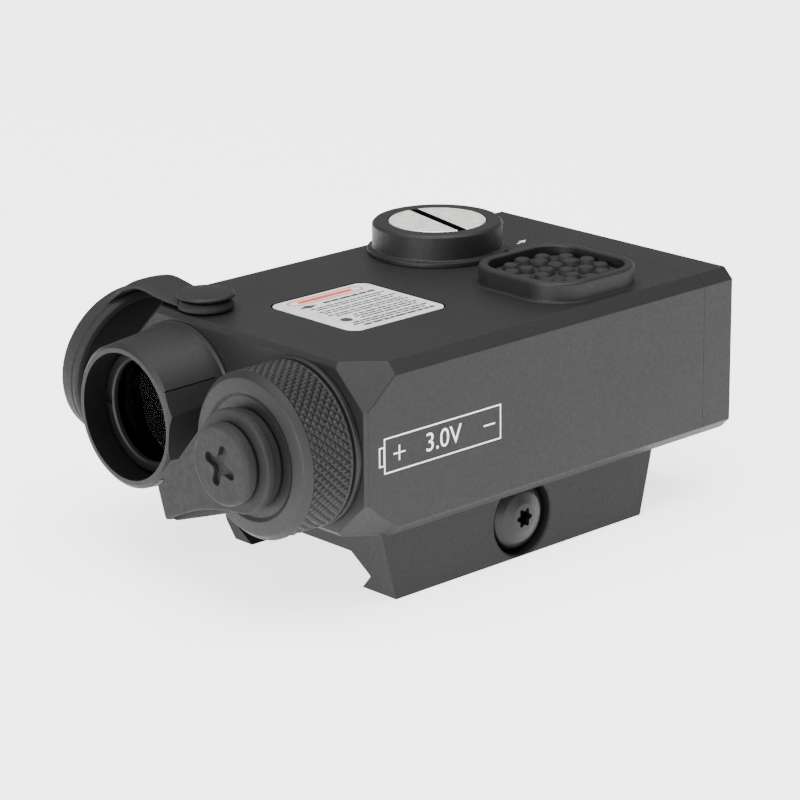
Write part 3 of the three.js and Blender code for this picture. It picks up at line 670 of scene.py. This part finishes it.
def laser_module():
    """The brass tube with its lens, which show through the window."""
    front = FRONT - low("laser_tube").y
    rear = FRONT - high("laser_tube").y
    tube = rounded([(4.2, rear), (6.2, rear, 0.2), (6.2, front - 8, 0.1), (5.4, front - 7.4, 0.1),
                    (5.4, front, 0.1)], 3)
    for k in range(8):  # the thread inside the mouth, where the lens cell screws in
        tube += [Vector((4.45, front - 0.4 * k)), Vector((4.7, front - 0.4 * k - 0.2))]
    tube += [Vector((4.4, front - 3.4)), Vector((4.4, front - 9)), Vector((4.2, front - 9))]
    made = lathe("laser_module_tube", tube, placing(LASER, AHEAD), 96)
    for side in (-1, 1):
        facing = RIGHTWARD @ Matrix.Scale(side, 3, (0, 0, 1))
        at = placing((LASER.x, middle("gimbal_ring").y, LASER.z), facing)
        pin = lathe("pin", rounded([(0, 5), (0.8, 5), (0.8, 6.4, 0.15), (0, 6.4)], 2), at, 24)
        combine(made, "UNION", pin)
    # The tube takes the dark brass, painted shade for the inside of the barrel.
    dress(smooth(made), "laser_module", BRASS_PAINTED_SHADE, "brass", "laser_tube")
    lens_front = FRONT - low("collimating_lens").y
    rim, bulge, steps = 3.9, 1.1, 8
    dome = [(0, lens_front - 2.1), (rim, lens_front - 2.1), (rim, lens_front - bulge)]
    for k in range(1, steps):
        angle = math.pi / 2 * k / steps
        dome.append((rim * math.cos(angle), lens_front - bulge + bulge * math.sin(angle)))
    dome.append((0, lens_front))
    lens = smooth(lathe("aspheric_lens", dome, placing(LASER, AHEAD), 64))
    # The lens takes a near-black colour as painted shade.
    dress(lens, "laser_module", LENS_PAINTED_SHADE, "glass", "collimating_lens")


front_barrel()
window()
laser_module()

# ---------------- elevation and windage adjusters
def adjuster(name, place, basis, turn, disc_material):
    """A collar with a slotted disc set flush in its top."""
    collar = rounded([
        (5, -2), (5, 0.05), (9.78, 0.05, 0.08), (9.78, 0.7, 0.15), (9.1, 0.74, 0.5), (9.1, 4.05, 0.12),
        (8.75, 4.4, 0.12), (6.92, 4.4, 0.08), (6.92, 2.6), (2.8, 2.6), (2.8, 1), (3.9, 1), (3.9, -2),
    ], 4)
    ring = smooth(lathe(f"{name}_turret", collar, placing(place, basis), 128))
    dress(ring, "housing", ANODISED, "anodised", f"{name}_collar")
    stem = {"elevation": TOP - LASER.z, "windage": LASER.x - LEFT}[name] - 7
    disc = rounded([(0, -stem), (1.4, -stem, 0.3), (2.5, 1.2 - stem, 0.3), (2.5, 2.9), (6.75, 2.9),
                    (6.75, 4.42, 0.12), (0, 4.42)], 3)
    made = lathe(f"{name}_slotted_disc", disc, placing(place, basis), 128)
    across = Matrix.Rotation(math.radians(turn), 3, "Z")
    slot = block("slot", -9, 9, -0.67, 0.67, 3.5, 6, placing(place, basis @ across))
    combine(made, "DIFFERENCE", slot)
    inward = placing(place, basis).inverted()

    def slot_in_painted_shade(centre, normal):
        """The slot's floor, and its upright walls, which take painted shade."""
        at = inward @ centre
        leaning = abs((inward.to_3x3() @ normal).z) > 0.5
        return math.hypot(at.x, at.y) < 6.6 and 3.2 < at.z < 4.4 and (at.z < 4 or not leaning)

    # The slot is painted near-black as shade, in place of the disc's own silver.
    two_tone(made, disc_material, PAINTED_SHADE, slot_in_painted_shade)
    dress(smooth(made), f"{name}_screw", disc_material, "silver", f"{name}_screw")


adjuster("elevation", ELEVATION, UPWARD, -13.3, SILVER_TOP)
adjuster("windage", WINDAGE, LEFTWARD, 90, SILVER_SIDE)

# ---------------- button
NUB_RINGS = [(12, 6.2, 2), (6, 4.05, 47), (3, 1.6, 17)]  # each ring's count, radius and first angle


def button_pad():
    base = low("button_pad").z - TOP
    inner = GUARD["inner"] - 0.3
    plate = rounded([(0, base), (inner, base), (inner, base + 1.25, 0.3), (0, base + 1.25)], 3)
    pad = lathe("nubbed_pad", plate, placing(BUTTON), 96, GUARD["spread"])
    nub = rounded([(0, 0), (1.3, 0.9, 0.2), (1.22, 1.35, 0.3), (0.92, 2.0, 0.3), (0, 2.12)], 4)
    for count, radius, first in NUB_RINGS:
        for k in range(count):
            angle = math.radians(first + 360 * k / count)
            place = BUTTON + Vector((radius * math.cos(angle), radius * math.sin(angle), base))
            combine(pad, "UNION", lathe("nub", nub, placing(place), 24))
    return dress(smooth(pad), "button_pad", SOFT_RUBBER, "rubber", "button_pad")


button_pad()

# ---------------- battery cap
CAP_FACE = FRONT - low("battery_cap").y
KNURL = {"radius": 10.87, "start": 1.55, "end": 8.0, "count": 56, "pitch": 1.3, "depth": 0.3}


def knurl_radius(angle, radius, along):
    """Two crossed families of grooves leave small pyramids on the grip."""
    if radius < KNURL["radius"] - 0.01 or not KNURL["start"] <= along <= KNURL["end"]:
        return radius
    around = KNURL["count"] * angle / (2 * math.pi)
    run = (along - KNURL["start"]) / KNURL["pitch"]
    height = min(abs(((u + 0.5) % 1) - 0.5) * 2 for u in (around + run, around - run))
    fade = min(1.0, (along - KNURL["start"]) * 4, (KNURL["end"] - along) * 4)
    return radius - KNURL["depth"] * fade * (1 - min(1.0, height * 1.5))


def battery_cap():
    start, end, grip = KNURL["start"], KNURL["end"], KNURL["radius"]
    rear = rounded([(4.5, 2.6), (8.2, 2.6), (8.2, -4.4, 0.1), (9.5, -4.4, 0.4), (9.5, 0.05),
                    (10.95, 0.05, 0.1), (10.95, 0.85, 0.15), (10.3, 0.95, 0.1), (10.3, 1.3, 0.1),
                    (grip, start - 0.05)], 3)
    steps = 64
    band = [Vector((grip, start + (end - start) * k / steps)) for k in range(steps + 1)]
    front = rounded([(grip, end + 0.05), (10.7, end + 0.25, 0.15), (10.1, CAP_FACE - 0.25, 0.4),
                     (8.3, CAP_FACE, 0.3), (7.75, CAP_FACE - 0.3, 0.3), (4.5, CAP_FACE - 0.3)], 5)
    cap = lathe("knurled_cap", rear + band + front, placing(POWER, AHEAD), 672, shape=knurl_radius)
    return dress(smooth(cap, 40), "battery_cap", ANODISED, "anodised", "battery_cap")


battery_cap()

# ---------------- plug and tether
PLUG = {"head": 5.3, "neck": 2.6, "back": CAP_FACE + 2.8, "front": FRONT - low("port_plug").y, "turn": 71}


def clover(reach, half, fillet):
    """A cross with round ends and rounded inner corners."""
    corners = []
    for k in range(4):
        turn = Matrix.Rotation(math.pi / 2 * k, 2)
        for x, y, radius in ((reach, -half, half), (reach, half, half), (half, half, fillet)):
            corners.append((*(turn @ Vector((x, y))), 0.98 * radius))
    return rounded(corners, 6)


def port_plug():
    head, neck, back, face = PLUG["head"], PLUG["neck"], PLUG["back"], PLUG["front"]
    outline = rounded([
        (0, 3.2), (neck - 0.4, 3.2, 0.3), (neck, 3.8, 0.3), (neck, back), (head - 0.2, back, 0.2),
        (head, back + 0.4, 0.3), (head, face - 0.12, 0.75), (0, face),
    ], 6)
    plug = lathe("port_plug_head", outline, placing(POWER, AHEAD), 96)
    turned_in = placing(POWER, AHEAD @ Matrix.Rotation(math.radians(PLUG["turn"]), 3, "Z"))
    combine(plug, "DIFFERENCE", prism("clover", clover(2.85, 0.68, 0.7), face - 0.8, face + 1, turned_in))
    return dress(smooth(plug), "port_plug", RUBBER, "rubber", "port_plug")


def strap_outline(eye, far, sag):
    """An eye and two edges that run to the far corners; the second edge bows inwards by sag."""
    first, last = (Vector(corner) for corner in far)
    points = []
    around, along = 40, 12
    start = tangent_angle(first, eye, -1)
    stop = tangent_angle(last, eye, 1)
    sweep = (stop - start) % (2 * math.pi) - 2 * math.pi
    for k in range(around + 1):
        angle = start + sweep * k / around
        points.append(Vector((math.cos(angle), math.sin(angle))) * eye)
    inward = (first - last).normalized()
    for k in range(1, along + 1):
        t = k / along
        points.append(points[around].lerp(last, t) + inward * sag * math.sin(math.pi * t))
    points.append(first)
    return points


def tangent_angle(point, radius, side):
    """Direction from the centre of a circle to where a line from point touches it."""
    return math.atan2(point.y, point.x) + side * math.acos(radius / point.length)


TETHER = {"rear": CAP_FACE - 0.1, "split": CAP_FACE + 1.18, "front": CAP_FACE + 2.5}
# The two ends of the fold in each layer, seen from the front with the cap's axis as origin.
FOLD = [Vector((-14.7, -6.5)), Vector((-13.1, -10.85))]
BACK_FOLD = [Vector((-14.7, -6.7)), Vector((-13.5, -11.6))]


def tether_bend(split, thick, place, steps=20):
    """The round of the fold, from the front layer over to the back one; its ends draw in as it bulges."""
    bm = bmesh.new()
    for k in range(steps + 1):
        share = k / steps
        angle = math.pi * (0.5 - share)
        ends = [FOLD[i].lerp(BACK_FOLD[i], share) for i in (0, 1)]
        run = (ends[1] - ends[0]).normalized()
        outward = Vector((run.y, -run.x)) * thick * math.cos(angle)
        drawn_in = run * 1.1 * (1 - abs(math.sin(angle)))
        depth = split + thick * math.sin(angle)
        bm.verts.new((*(ends[0] + outward + drawn_in), depth))
        bm.verts.new((*(ends[1] + outward - drawn_in), depth))
    bmesh.ops.convex_hull(bm, input=bm.verts)
    return new_object("bend", bm, place)


def tether_gap(split):
    """What the fold leaves open between its layers: a wedge that closes towards the plug."""
    run = (FOLD[1] - FOLD[0]).normalized()
    centre = (FOLD[0] + FOLD[1]) / 2
    outward = Vector((run.y, -run.x, 0))
    across = Matrix((outward, (0, 0, 1), (run.x, run.y, 0))).transposed()
    wedge = rounded([(-9, 0), (0.5, -0.5, 0.45), (0.5, 0.5, 0.45)], 5)
    origin = POWER + AHEAD @ Vector((centre.x, centre.y, split))
    return prism("gap", wedge, -5, 5, placing(origin, AHEAD @ across))


def plug_tether():
    """A rubber strap folded back on itself: one eye under the plug, the other on the cap."""
    rear, split, front = TETHER["rear"], TETHER["split"], TETHER["front"]
    place = placing(POWER, AHEAD)
    tether = prism("folded_tether", strap_outline(6.75, FOLD, 0.9), split + 0.02, front, place, 0.3, 4)
    behind = prism("behind", strap_outline(6.4, BACK_FOLD, 0.0), rear, split - 0.02, place, 0.22, 3)
    combine(tether, "UNION", behind, tether_bend(split, front - split, place))
    combine(tether, "DIFFERENCE", tether_gap(split))
    hole = lathe("hole", oblong(0, 2.75, -2, 20), place, 48)
    socket = lathe("socket", oblong(0, 4.45, -2, CAP_FACE + 0.2), place, 64)
    combine(tether, "DIFFERENCE", hole, socket)
    mould(tether, 0.11, 5)
    return dress(tether, "battery_cap", RUBBER, "rubber", "plug_tether")


port_plug()
plug_tether()

# ---------------- strap post, strap and lens cap
SWING = math.radians(176.9)  # direction from the post to the hanging cap
HINGE = Vector((13.1, 0, 1.2))
TILT = math.radians(7.5)
LENS_CAP = {"radius": 10.95, "depth": 4.2, "drop": 1.6}


def swing_place():
    return placing(POST, Matrix.Rotation(SWING, 3, "Z"))


def flap_place():
    return swing_place() @ Matrix.Translation(HINGE) @ Matrix.Rotation(-TILT, 4, "Y")


def strap_post():
    outline = rounded([(0, -1.6), (1.3, -1.6), (1.3, 1.6), (3.3, 1.62, 0.2), (3.95, 1.95, 0.15),
                       (3.75, 2.3, 0.25), (0, 2.42)], 4)
    post = smooth(lathe("post_head", outline, placing(POST), 96))
    return dress(post, "housing", ANODISED, "anodised", "strap_post")


def cap_strap():
    """An eye round the post and a ribbon that arches over the edge and widens onto the lens cap."""
    bm = bmesh.new()
    route = [(2.0, 0.75), (5.0, 0.8), (7.5, 1.0), (9.5, 1.3), (11.3, 1.45), (12.9, 1.15), (14.2, 0.35),
             (15.6, -0.45)]
    thick, half_start, half_end = 1.1, 3.2, 5.6
    rows = []
    steps, across = 40, 12
    for i in range(steps + 1):
        s = i / steps * (len(route) - 1)
        k = min(int(s), len(route) - 2)
        a, b = Vector(route[max(k - 1, 0)]), Vector(route[k])
        c, d = Vector(route[k + 1]), Vector(route[min(k + 2, len(route) - 1)])
        t = s - k
        point = 0.5 * ((2 * b) + (c - a) * t + (2 * a - 5 * b + 4 * c - d) * t * t
                       + (3 * b - a - 3 * c + d) * t ** 3)
        share = i / steps
        ease = max(0.0, share - 0.35) / 0.65
        half = half_start + (half_end - half_start) * ease * ease
        upper, lower = [], []
        for j in range(across + 1):
            v = -1 + 2 * j / across
            y = v * half
            crown = -ease * y * y / (2 * LENS_CAP["radius"])
            lip = thick * (0.5 - 0.32 * abs(v) ** 6)
            upper.append(bm.verts.new((point.x, y, point.y + crown + lip)))
            lower.append(bm.verts.new((point.x, y, point.y + crown - lip)))
        rows.append(upper + lower[::-1])
    for a, b in zip(rows, rows[1:]):
        for j in range(len(a)):
            n = (j + 1) % len(a)
            bm.faces.new((a[j], a[n], b[n], b[j]))
    bm.faces.new(rows[0])
    bm.faces.new(rows[-1])
    strap = new_object("cap_strap_ribbon", bm, swing_place())
    rim = rounded([(0, 0.3), (3.72, 0.3, 0.15), (3.72, 0.75, 0.2), (3.3, 1.35, 0.2), (0, 1.35)], 4)
    combine(strap, "UNION", lathe("eye", rim, placing(POST), 96))
    hole = lathe("hole", oblong(0, 1.6, -1, 4), placing(POST), 48)
    head = lathe("head", oblong(0, 4.1, 1.42, 4), placing(POST), 48)
    combine(strap, "DIFFERENCE", hole, head)
    smooth(strap, 40)
    strap.data.materials.append(RUBBER)
    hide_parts("lens_cap_strap")
    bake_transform(strap)


def lens_cap():
    outer, deep = LENS_CAP["radius"], LENS_CAP["depth"]
    outline = rounded([
        (0, deep - 1.3), (outer - 1, deep - 1.3, 0.6), (outer - 1, 0.0, 0.2), (outer - 0.25, 0.0, 0.3),
        (outer, 0.35, 0.25), (outer, 0.95, 0.12), (outer - 0.3, 1.1, 0.1), (outer - 0.3, 1.25, 0.1),
        (outer - 0.05, 1.45, 0.12), (outer - 0.1, deep, 1.1), (8.6, deep, 0.3), (8.3, deep - 0.25, 0.3),
        (0, deep - 0.25),
    ], 5)
    sideways = Matrix(((0, 0, 1), (0, 1, 0), (-1, 0, 0))).to_4x4()
    centre = Matrix.Translation((0, 0, -outer - LENS_CAP["drop"]))
    cup = lathe("lens_cap_cup", outline, flap_place() @ centre @ sideways, 144)
    return dress(smooth(cup, 40), "lens_cap", RUBBER, "rubber", "lens_cap")


strap_post()
cap_strap()
lens_cap()

# ---------------- label and painted marks
def join(name, pieces):
    """One object made of several, keeping each one's material."""
    bm = bmesh.new()
    materials = []
    for piece in pieces:
        first = len(bm.faces)
        bm.from_mesh(piece.data)
        bm.faces.ensure_lookup_table()
        material = piece.data.materials[0]
        if material not in materials:
            materials.append(material)
        for face in bm.faces[first:]:
            face.material_index = materials.index(material)
        bpy.data.objects.remove(piece)
    made = new_object(name, bm, Matrix.Identity(4))
    for material in materials:
        made.data.materials.append(material)
    return made


def inlay(outline, z0, z1, matrix, material):
    made = prism("inlay", outline, z0, z1, matrix)
    made.data.materials.append(material)
    return made


def frame_of(outline_outer, outline_inner, z0, z1, matrix, material):
    """A flat ring between two outlines with the same number of points."""
    bm = bmesh.new()
    loops = [[bm.verts.new((x, y, z)) for x, y in outline] for outline, z in (
        (outline_outer, z0), (outline_outer, z1), (outline_inner, z1), (outline_inner, z0))]
    for a, b in zip(loops, loops[1:] + loops[:1]):
        for k in range(len(a)):
            n = (k + 1) % len(a)
            bm.faces.new((a[k], a[n], b[n], b[k]))
    made = new_object("frame", bm, matrix)
    made.data.materials.append(material)
    return made


def label():
    """A white plate with a red pill and rows of grey dashes where print would be."""
    base = low("label_plate").z - TOP
    face = base + 0.36
    plate = prism("white_plate", rounded_square(8.45, 1.75), base, face, placing(LABEL), 0.06)
    dress(smooth(plate), "housing", WHITE, "label", "label_plate")
    at, proud = placing(LABEL), face + 0.015
    pill = [capsule((-6.6, -5.2), (-6.6, 5.4), width, 12) for width in (2.2, 1.7)]
    marks = [frame_of(pill[0], pill[1], face - 0.05, proud, at, RED_INK)]
    marks.append(inlay(capsule((-6.6, -4.3), (-6.6, 4.5), 0.85), face - 0.05, proud, at, RED_INK))
    picker = random.Random(11)
    # Each row's place across the plate, its start, its end and the height of its dashes.
    rows = [(-4.35, -2.2, 6.9, 0.62), (-3.0, -5.6, 7.4, 0.36), (-2.25, -5.2, 6.2, 0.36),
            (-1.15, -5.8, 7.6, 0.36), (-0.4, -5.5, 6.6, 0.36), (0.7, -5.9, 7.2, 0.36),
            (1.45, -5.1, 7.5, 0.36), (2.5, -3.1, 6.9, 0.4), (3.3, -3.6, 7.3, 0.4), (4.1, -3.3, 6.6, 0.4),
            (5.2, -5.6, 7.4, 0.4), (5.95, -6.2, 6.4, 0.4), (6.9, -5.2, 7.2, 0.55)]
    for x, start, stop, tall in rows:
        y = start
        while y < stop:
            long = min(picker.uniform(0.6, 1.9), stop - y)
            dash = oblong(x - tall / 2, x + tall / 2, y, y + long)
            marks.append(inlay(dash, face - 0.05, proud, at, INK))
            y += long + 0.2
    diamond = [(-4.35, -6.3), (-3.7, -4.9), (-4.35, -3.3), (-5.0, -4.9)]
    marks.append(inlay(diamond, face - 0.05, proud, at, INK))
    marks.append(inlay(circle(0.85, 10, (3.6, -5.3)), face - 0.05, proud, at, INK))
    print_marks = join("label_print", marks)
    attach(print_marks, "housing")


def battery_mark():
    """A painted cell outline on the right side, with its poles and voltage."""
    at = placing((RIGHT, 0, 0), RIGHTWARD)
    sunk, proud = -0.02, 0.012
    y0, y1, z0, z1, line = -16.2, 4.2, 13.0, 17.7, 0.2
    outer = oblong(y0, y1, z0, z1)
    inner = oblong(y0 + line, y1 - line, z0 + line, z1 - line)
    marks = [frame_of(outer, inner, sunk, proud, at, PAINT)]
    nub = oblong(y0 - 0.85, y0 + 0.001, 14.05, 16.65)
    hollow = oblong(y0 - 0.65, y0 - 0.1, 14.25, 16.45)
    marks.append(frame_of(nub, hollow, sunk, proud, at, PAINT))
    level = (z0 + z1) / 2
    half, thin, plus, minus = 1, 0.11, -13.6, 2.1
    for y in (plus, minus):
        marks.append(inlay(oblong(y - half, y + half, level - thin, level + thin), sunk, proud, at, PAINT))
        if y == plus:
            upright = oblong(y - thin, y + thin, level - half, level + half)
            marks.append(inlay(upright, sunk, proud + 0.001, at, PAINT))
    made = join("cell_mark", marks)
    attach(made, "housing")
    text = bpy.data.curves.new("cell_voltage", "FONT")
    text.body = "3.0V"
    text.size = 3.5
    text.align_x, text.align_y = "CENTER", "CENTER"
    text.extrude = 0.006
    written = bpy.data.objects.new("cell_voltage", text)
    bpy.context.scene.collection.objects.link(written)
    written.matrix_world = at @ Matrix.Translation(((y0 + y1) / 2, level, 0.004))
    text.materials.append(PAINT)
    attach(written, "housing")


def adjustment_mark():
    """A small painted arrow behind the elevation adjuster."""
    tip, tail = Vector((-13.8, 39.4)), Vector((-13.1, 37.0))
    run = (tip - tail).normalized()
    side = Vector((run.y, -run.x))
    at = placing((0, 0, TOP))
    neck = tip - run * 1.3
    stem = [tail + side * 0.1, neck + side * 0.1, neck - side * 0.1, tail - side * 0.1]
    head = [neck + side * 0.5, tip, neck - side * 0.5]
    pieces = [inlay(stem, -0.02, 0.012, at, PAINT), inlay(head, -0.02, 0.013, at, PAINT)]
    made = join("adjustment_arrow", pieces)
    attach(made, "housing")


label()
battery_mark()
adjustment_mark()

# ---------------- rail mount
RAIL = {"flat": 7.8, "bevel": 2.76, "side": 0.2, "lip": 2.08}
MOUNT = {"front": -14.9, "rear": 34.8, "rake": 0.245}


def bolt_hole():
    return lathe("shank", oblong(0, 2.65, -30, 30), placing(BOLT, RIGHTWARD), 48)


def rail_piece(name, outline, body, node, cutters, shift=0.0):
    """A section of (x, z) points run along the rail, its ends raked."""
    y0, y1 = MOUNT["front"] - 3, MOUNT["rear"] + 3
    bm = extruded([(x, y0, z) for x, z in outline], (0, y1 - y0, 0))
    bmesh.ops.recalc_face_normals(bm, faces=bm.faces)
    level = BOTTOM - 0.3
    slice_off(bm, (0, MOUNT["front"], level), (0, -1, -MOUNT["rake"]))
    slice_off(bm, (0, MOUNT["rear"], level), (0, 1, -MOUNT["rake"]))
    soften(bm, SKIN, 2, 20)
    made = new_object(name, bm, placing((shift, 0, 0)))
    combine(made, "DIFFERENCE", *cutters)
    return dress(smooth(made), body, MOUNT_FINISH, "anodised", node)


def mount_base():
    notch = RAIL["flat"] + RAIL["bevel"]
    foot = low("mount_base").z
    left, right, top = low("mount_base").x, high("mount_base").x, BOTTOM + 1.2
    outline = [(left, 0), (RAIL["flat"], 0), (notch, -RAIL["bevel"]),
               (notch, -RAIL["bevel"] - RAIL["side"]), (notch - RAIL["lip"], foot), (right, foot),
               (right, top), (left, top)]
    mouth = [(0, 12), (5.2, 12), (5.2, right - 0.22), (5.45, right + 0.03), (5.45, right + 3),
             (0, right + 3)]
    recess = lathe("recess", mouth, placing(BOLT, RIGHTWARD), 96)
    cutters = [bolt_hole(), recess, box_body("fitted_top", FRONT, SEAM, True)]
    stepped = [(0, -1), (3.1, -1), (3.1, 2), (1.7, 2), (1.7, 6), (0, 6)]
    for i in (1, 2):
        place = middle(f"mount_screw_{i}")
        place.z = 0
        cutters.append(lathe("hole", stepped, placing(place), 48))
    return rail_piece("mount_body", outline, "housing", "mount_base", cutters)


def clamp_plate():
    notch = RAIL["flat"] + 0.3 + RAIL["bevel"]
    foot = low("clamp_plate").z
    inner = low("mount_base").x - 0.3
    outer = -notch - 2.4
    top = BOTTOM - 0.3
    shift = low("clamp_plate").x - outer
    outline = [(inner, top), (outer, top), (outer, -2.4), (outer + 1, foot), (RAIL["lip"] - notch, foot),
               (-notch, -RAIL["bevel"] - RAIL["side"]), (-notch, -RAIL["bevel"]),
               (inner, notch + inner - RAIL["bevel"])]
    pocket = prism("pocket", circle(4.34, 6), -30, outer + shift + 1.9, placing(BOLT, RIGHTWARD))
    return rail_piece("clamp_jaw", outline, "clamp_plate", "clamp_plate", [bolt_hole(), pocket], shift)


def clamp_screw():
    seat = high("mount_base").x - 2.6
    tip = low("clamp_screw").x
    outline = rounded([
        (0, tip), (1.6, tip, 0.1), (2.0, tip + 0.4, 0.1), (2.0, -11.36), (2.5, -11.36, 0.1), (2.5, seat),
        (4.8, seat, 0.1), (4.8, seat + 1.1, 0.35), (4.35, seat + 1.75, 0.6), (3.4, seat + 2.4, 1.0),
        (1.9, seat + 2.87, 1.0), (0, seat + 3.1),
    ], 4)
    screw = lathe("clamp_bolt", outline, placing(BOLT, RIGHTWARD), 96)
    points = []
    steps, lobes, mean, wave = 48, 6, 1.17, 0.23
    for k in range(steps):
        angle = 2 * math.pi * k / steps
        reach = mean + wave * math.cos(lobes * angle)
        points.append((reach * math.cos(angle), reach * math.sin(angle)))
    combine(screw, "DIFFERENCE", prism("star", points, seat + 1.4, seat + 5, placing(BOLT, RIGHTWARD)))
    return dress(smooth(screw), "clamp_screw", STEEL, "steel", "clamp_screw")


mount_base()
clamp_plate()
clamp_screw()

# ---------------- CAD pieces that stay as they are
KEPT = {
    "seal_rubber": (SEAL, ["window_seal", "elevation_seal", "windage_seal", "cap_seal"]),
    "wire": (SPRING, ["elevation_spring", "windage_spring", "battery_spring", "contact_spring",
                      "snap_dome"]),
    "steel": (STEEL, ["gimbal_ring", "jack_socket", "clamp_nut"]),
    "brass": (BRASS, ["laser_diode", "rear_contact"]),
    "board": (BOARD, ["driver_board", "main_board", "switch_board"]),
    "chip": (CHIP, ["controller_chip"]),
    "white": (WHITE, ["board_connector"]),
    "wrap": (WRAP, ["battery"]),
    # The lens cell takes the near-black painted shade.
    "cell": (PAINTED_SHADE, ["lens_cell"]),
}
for finish_material, kept_nodes in KEPT.values():
    for kept in kept_nodes:
        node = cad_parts[kept]
        node.data.materials.clear()
        node.data.materials.append(finish_material)
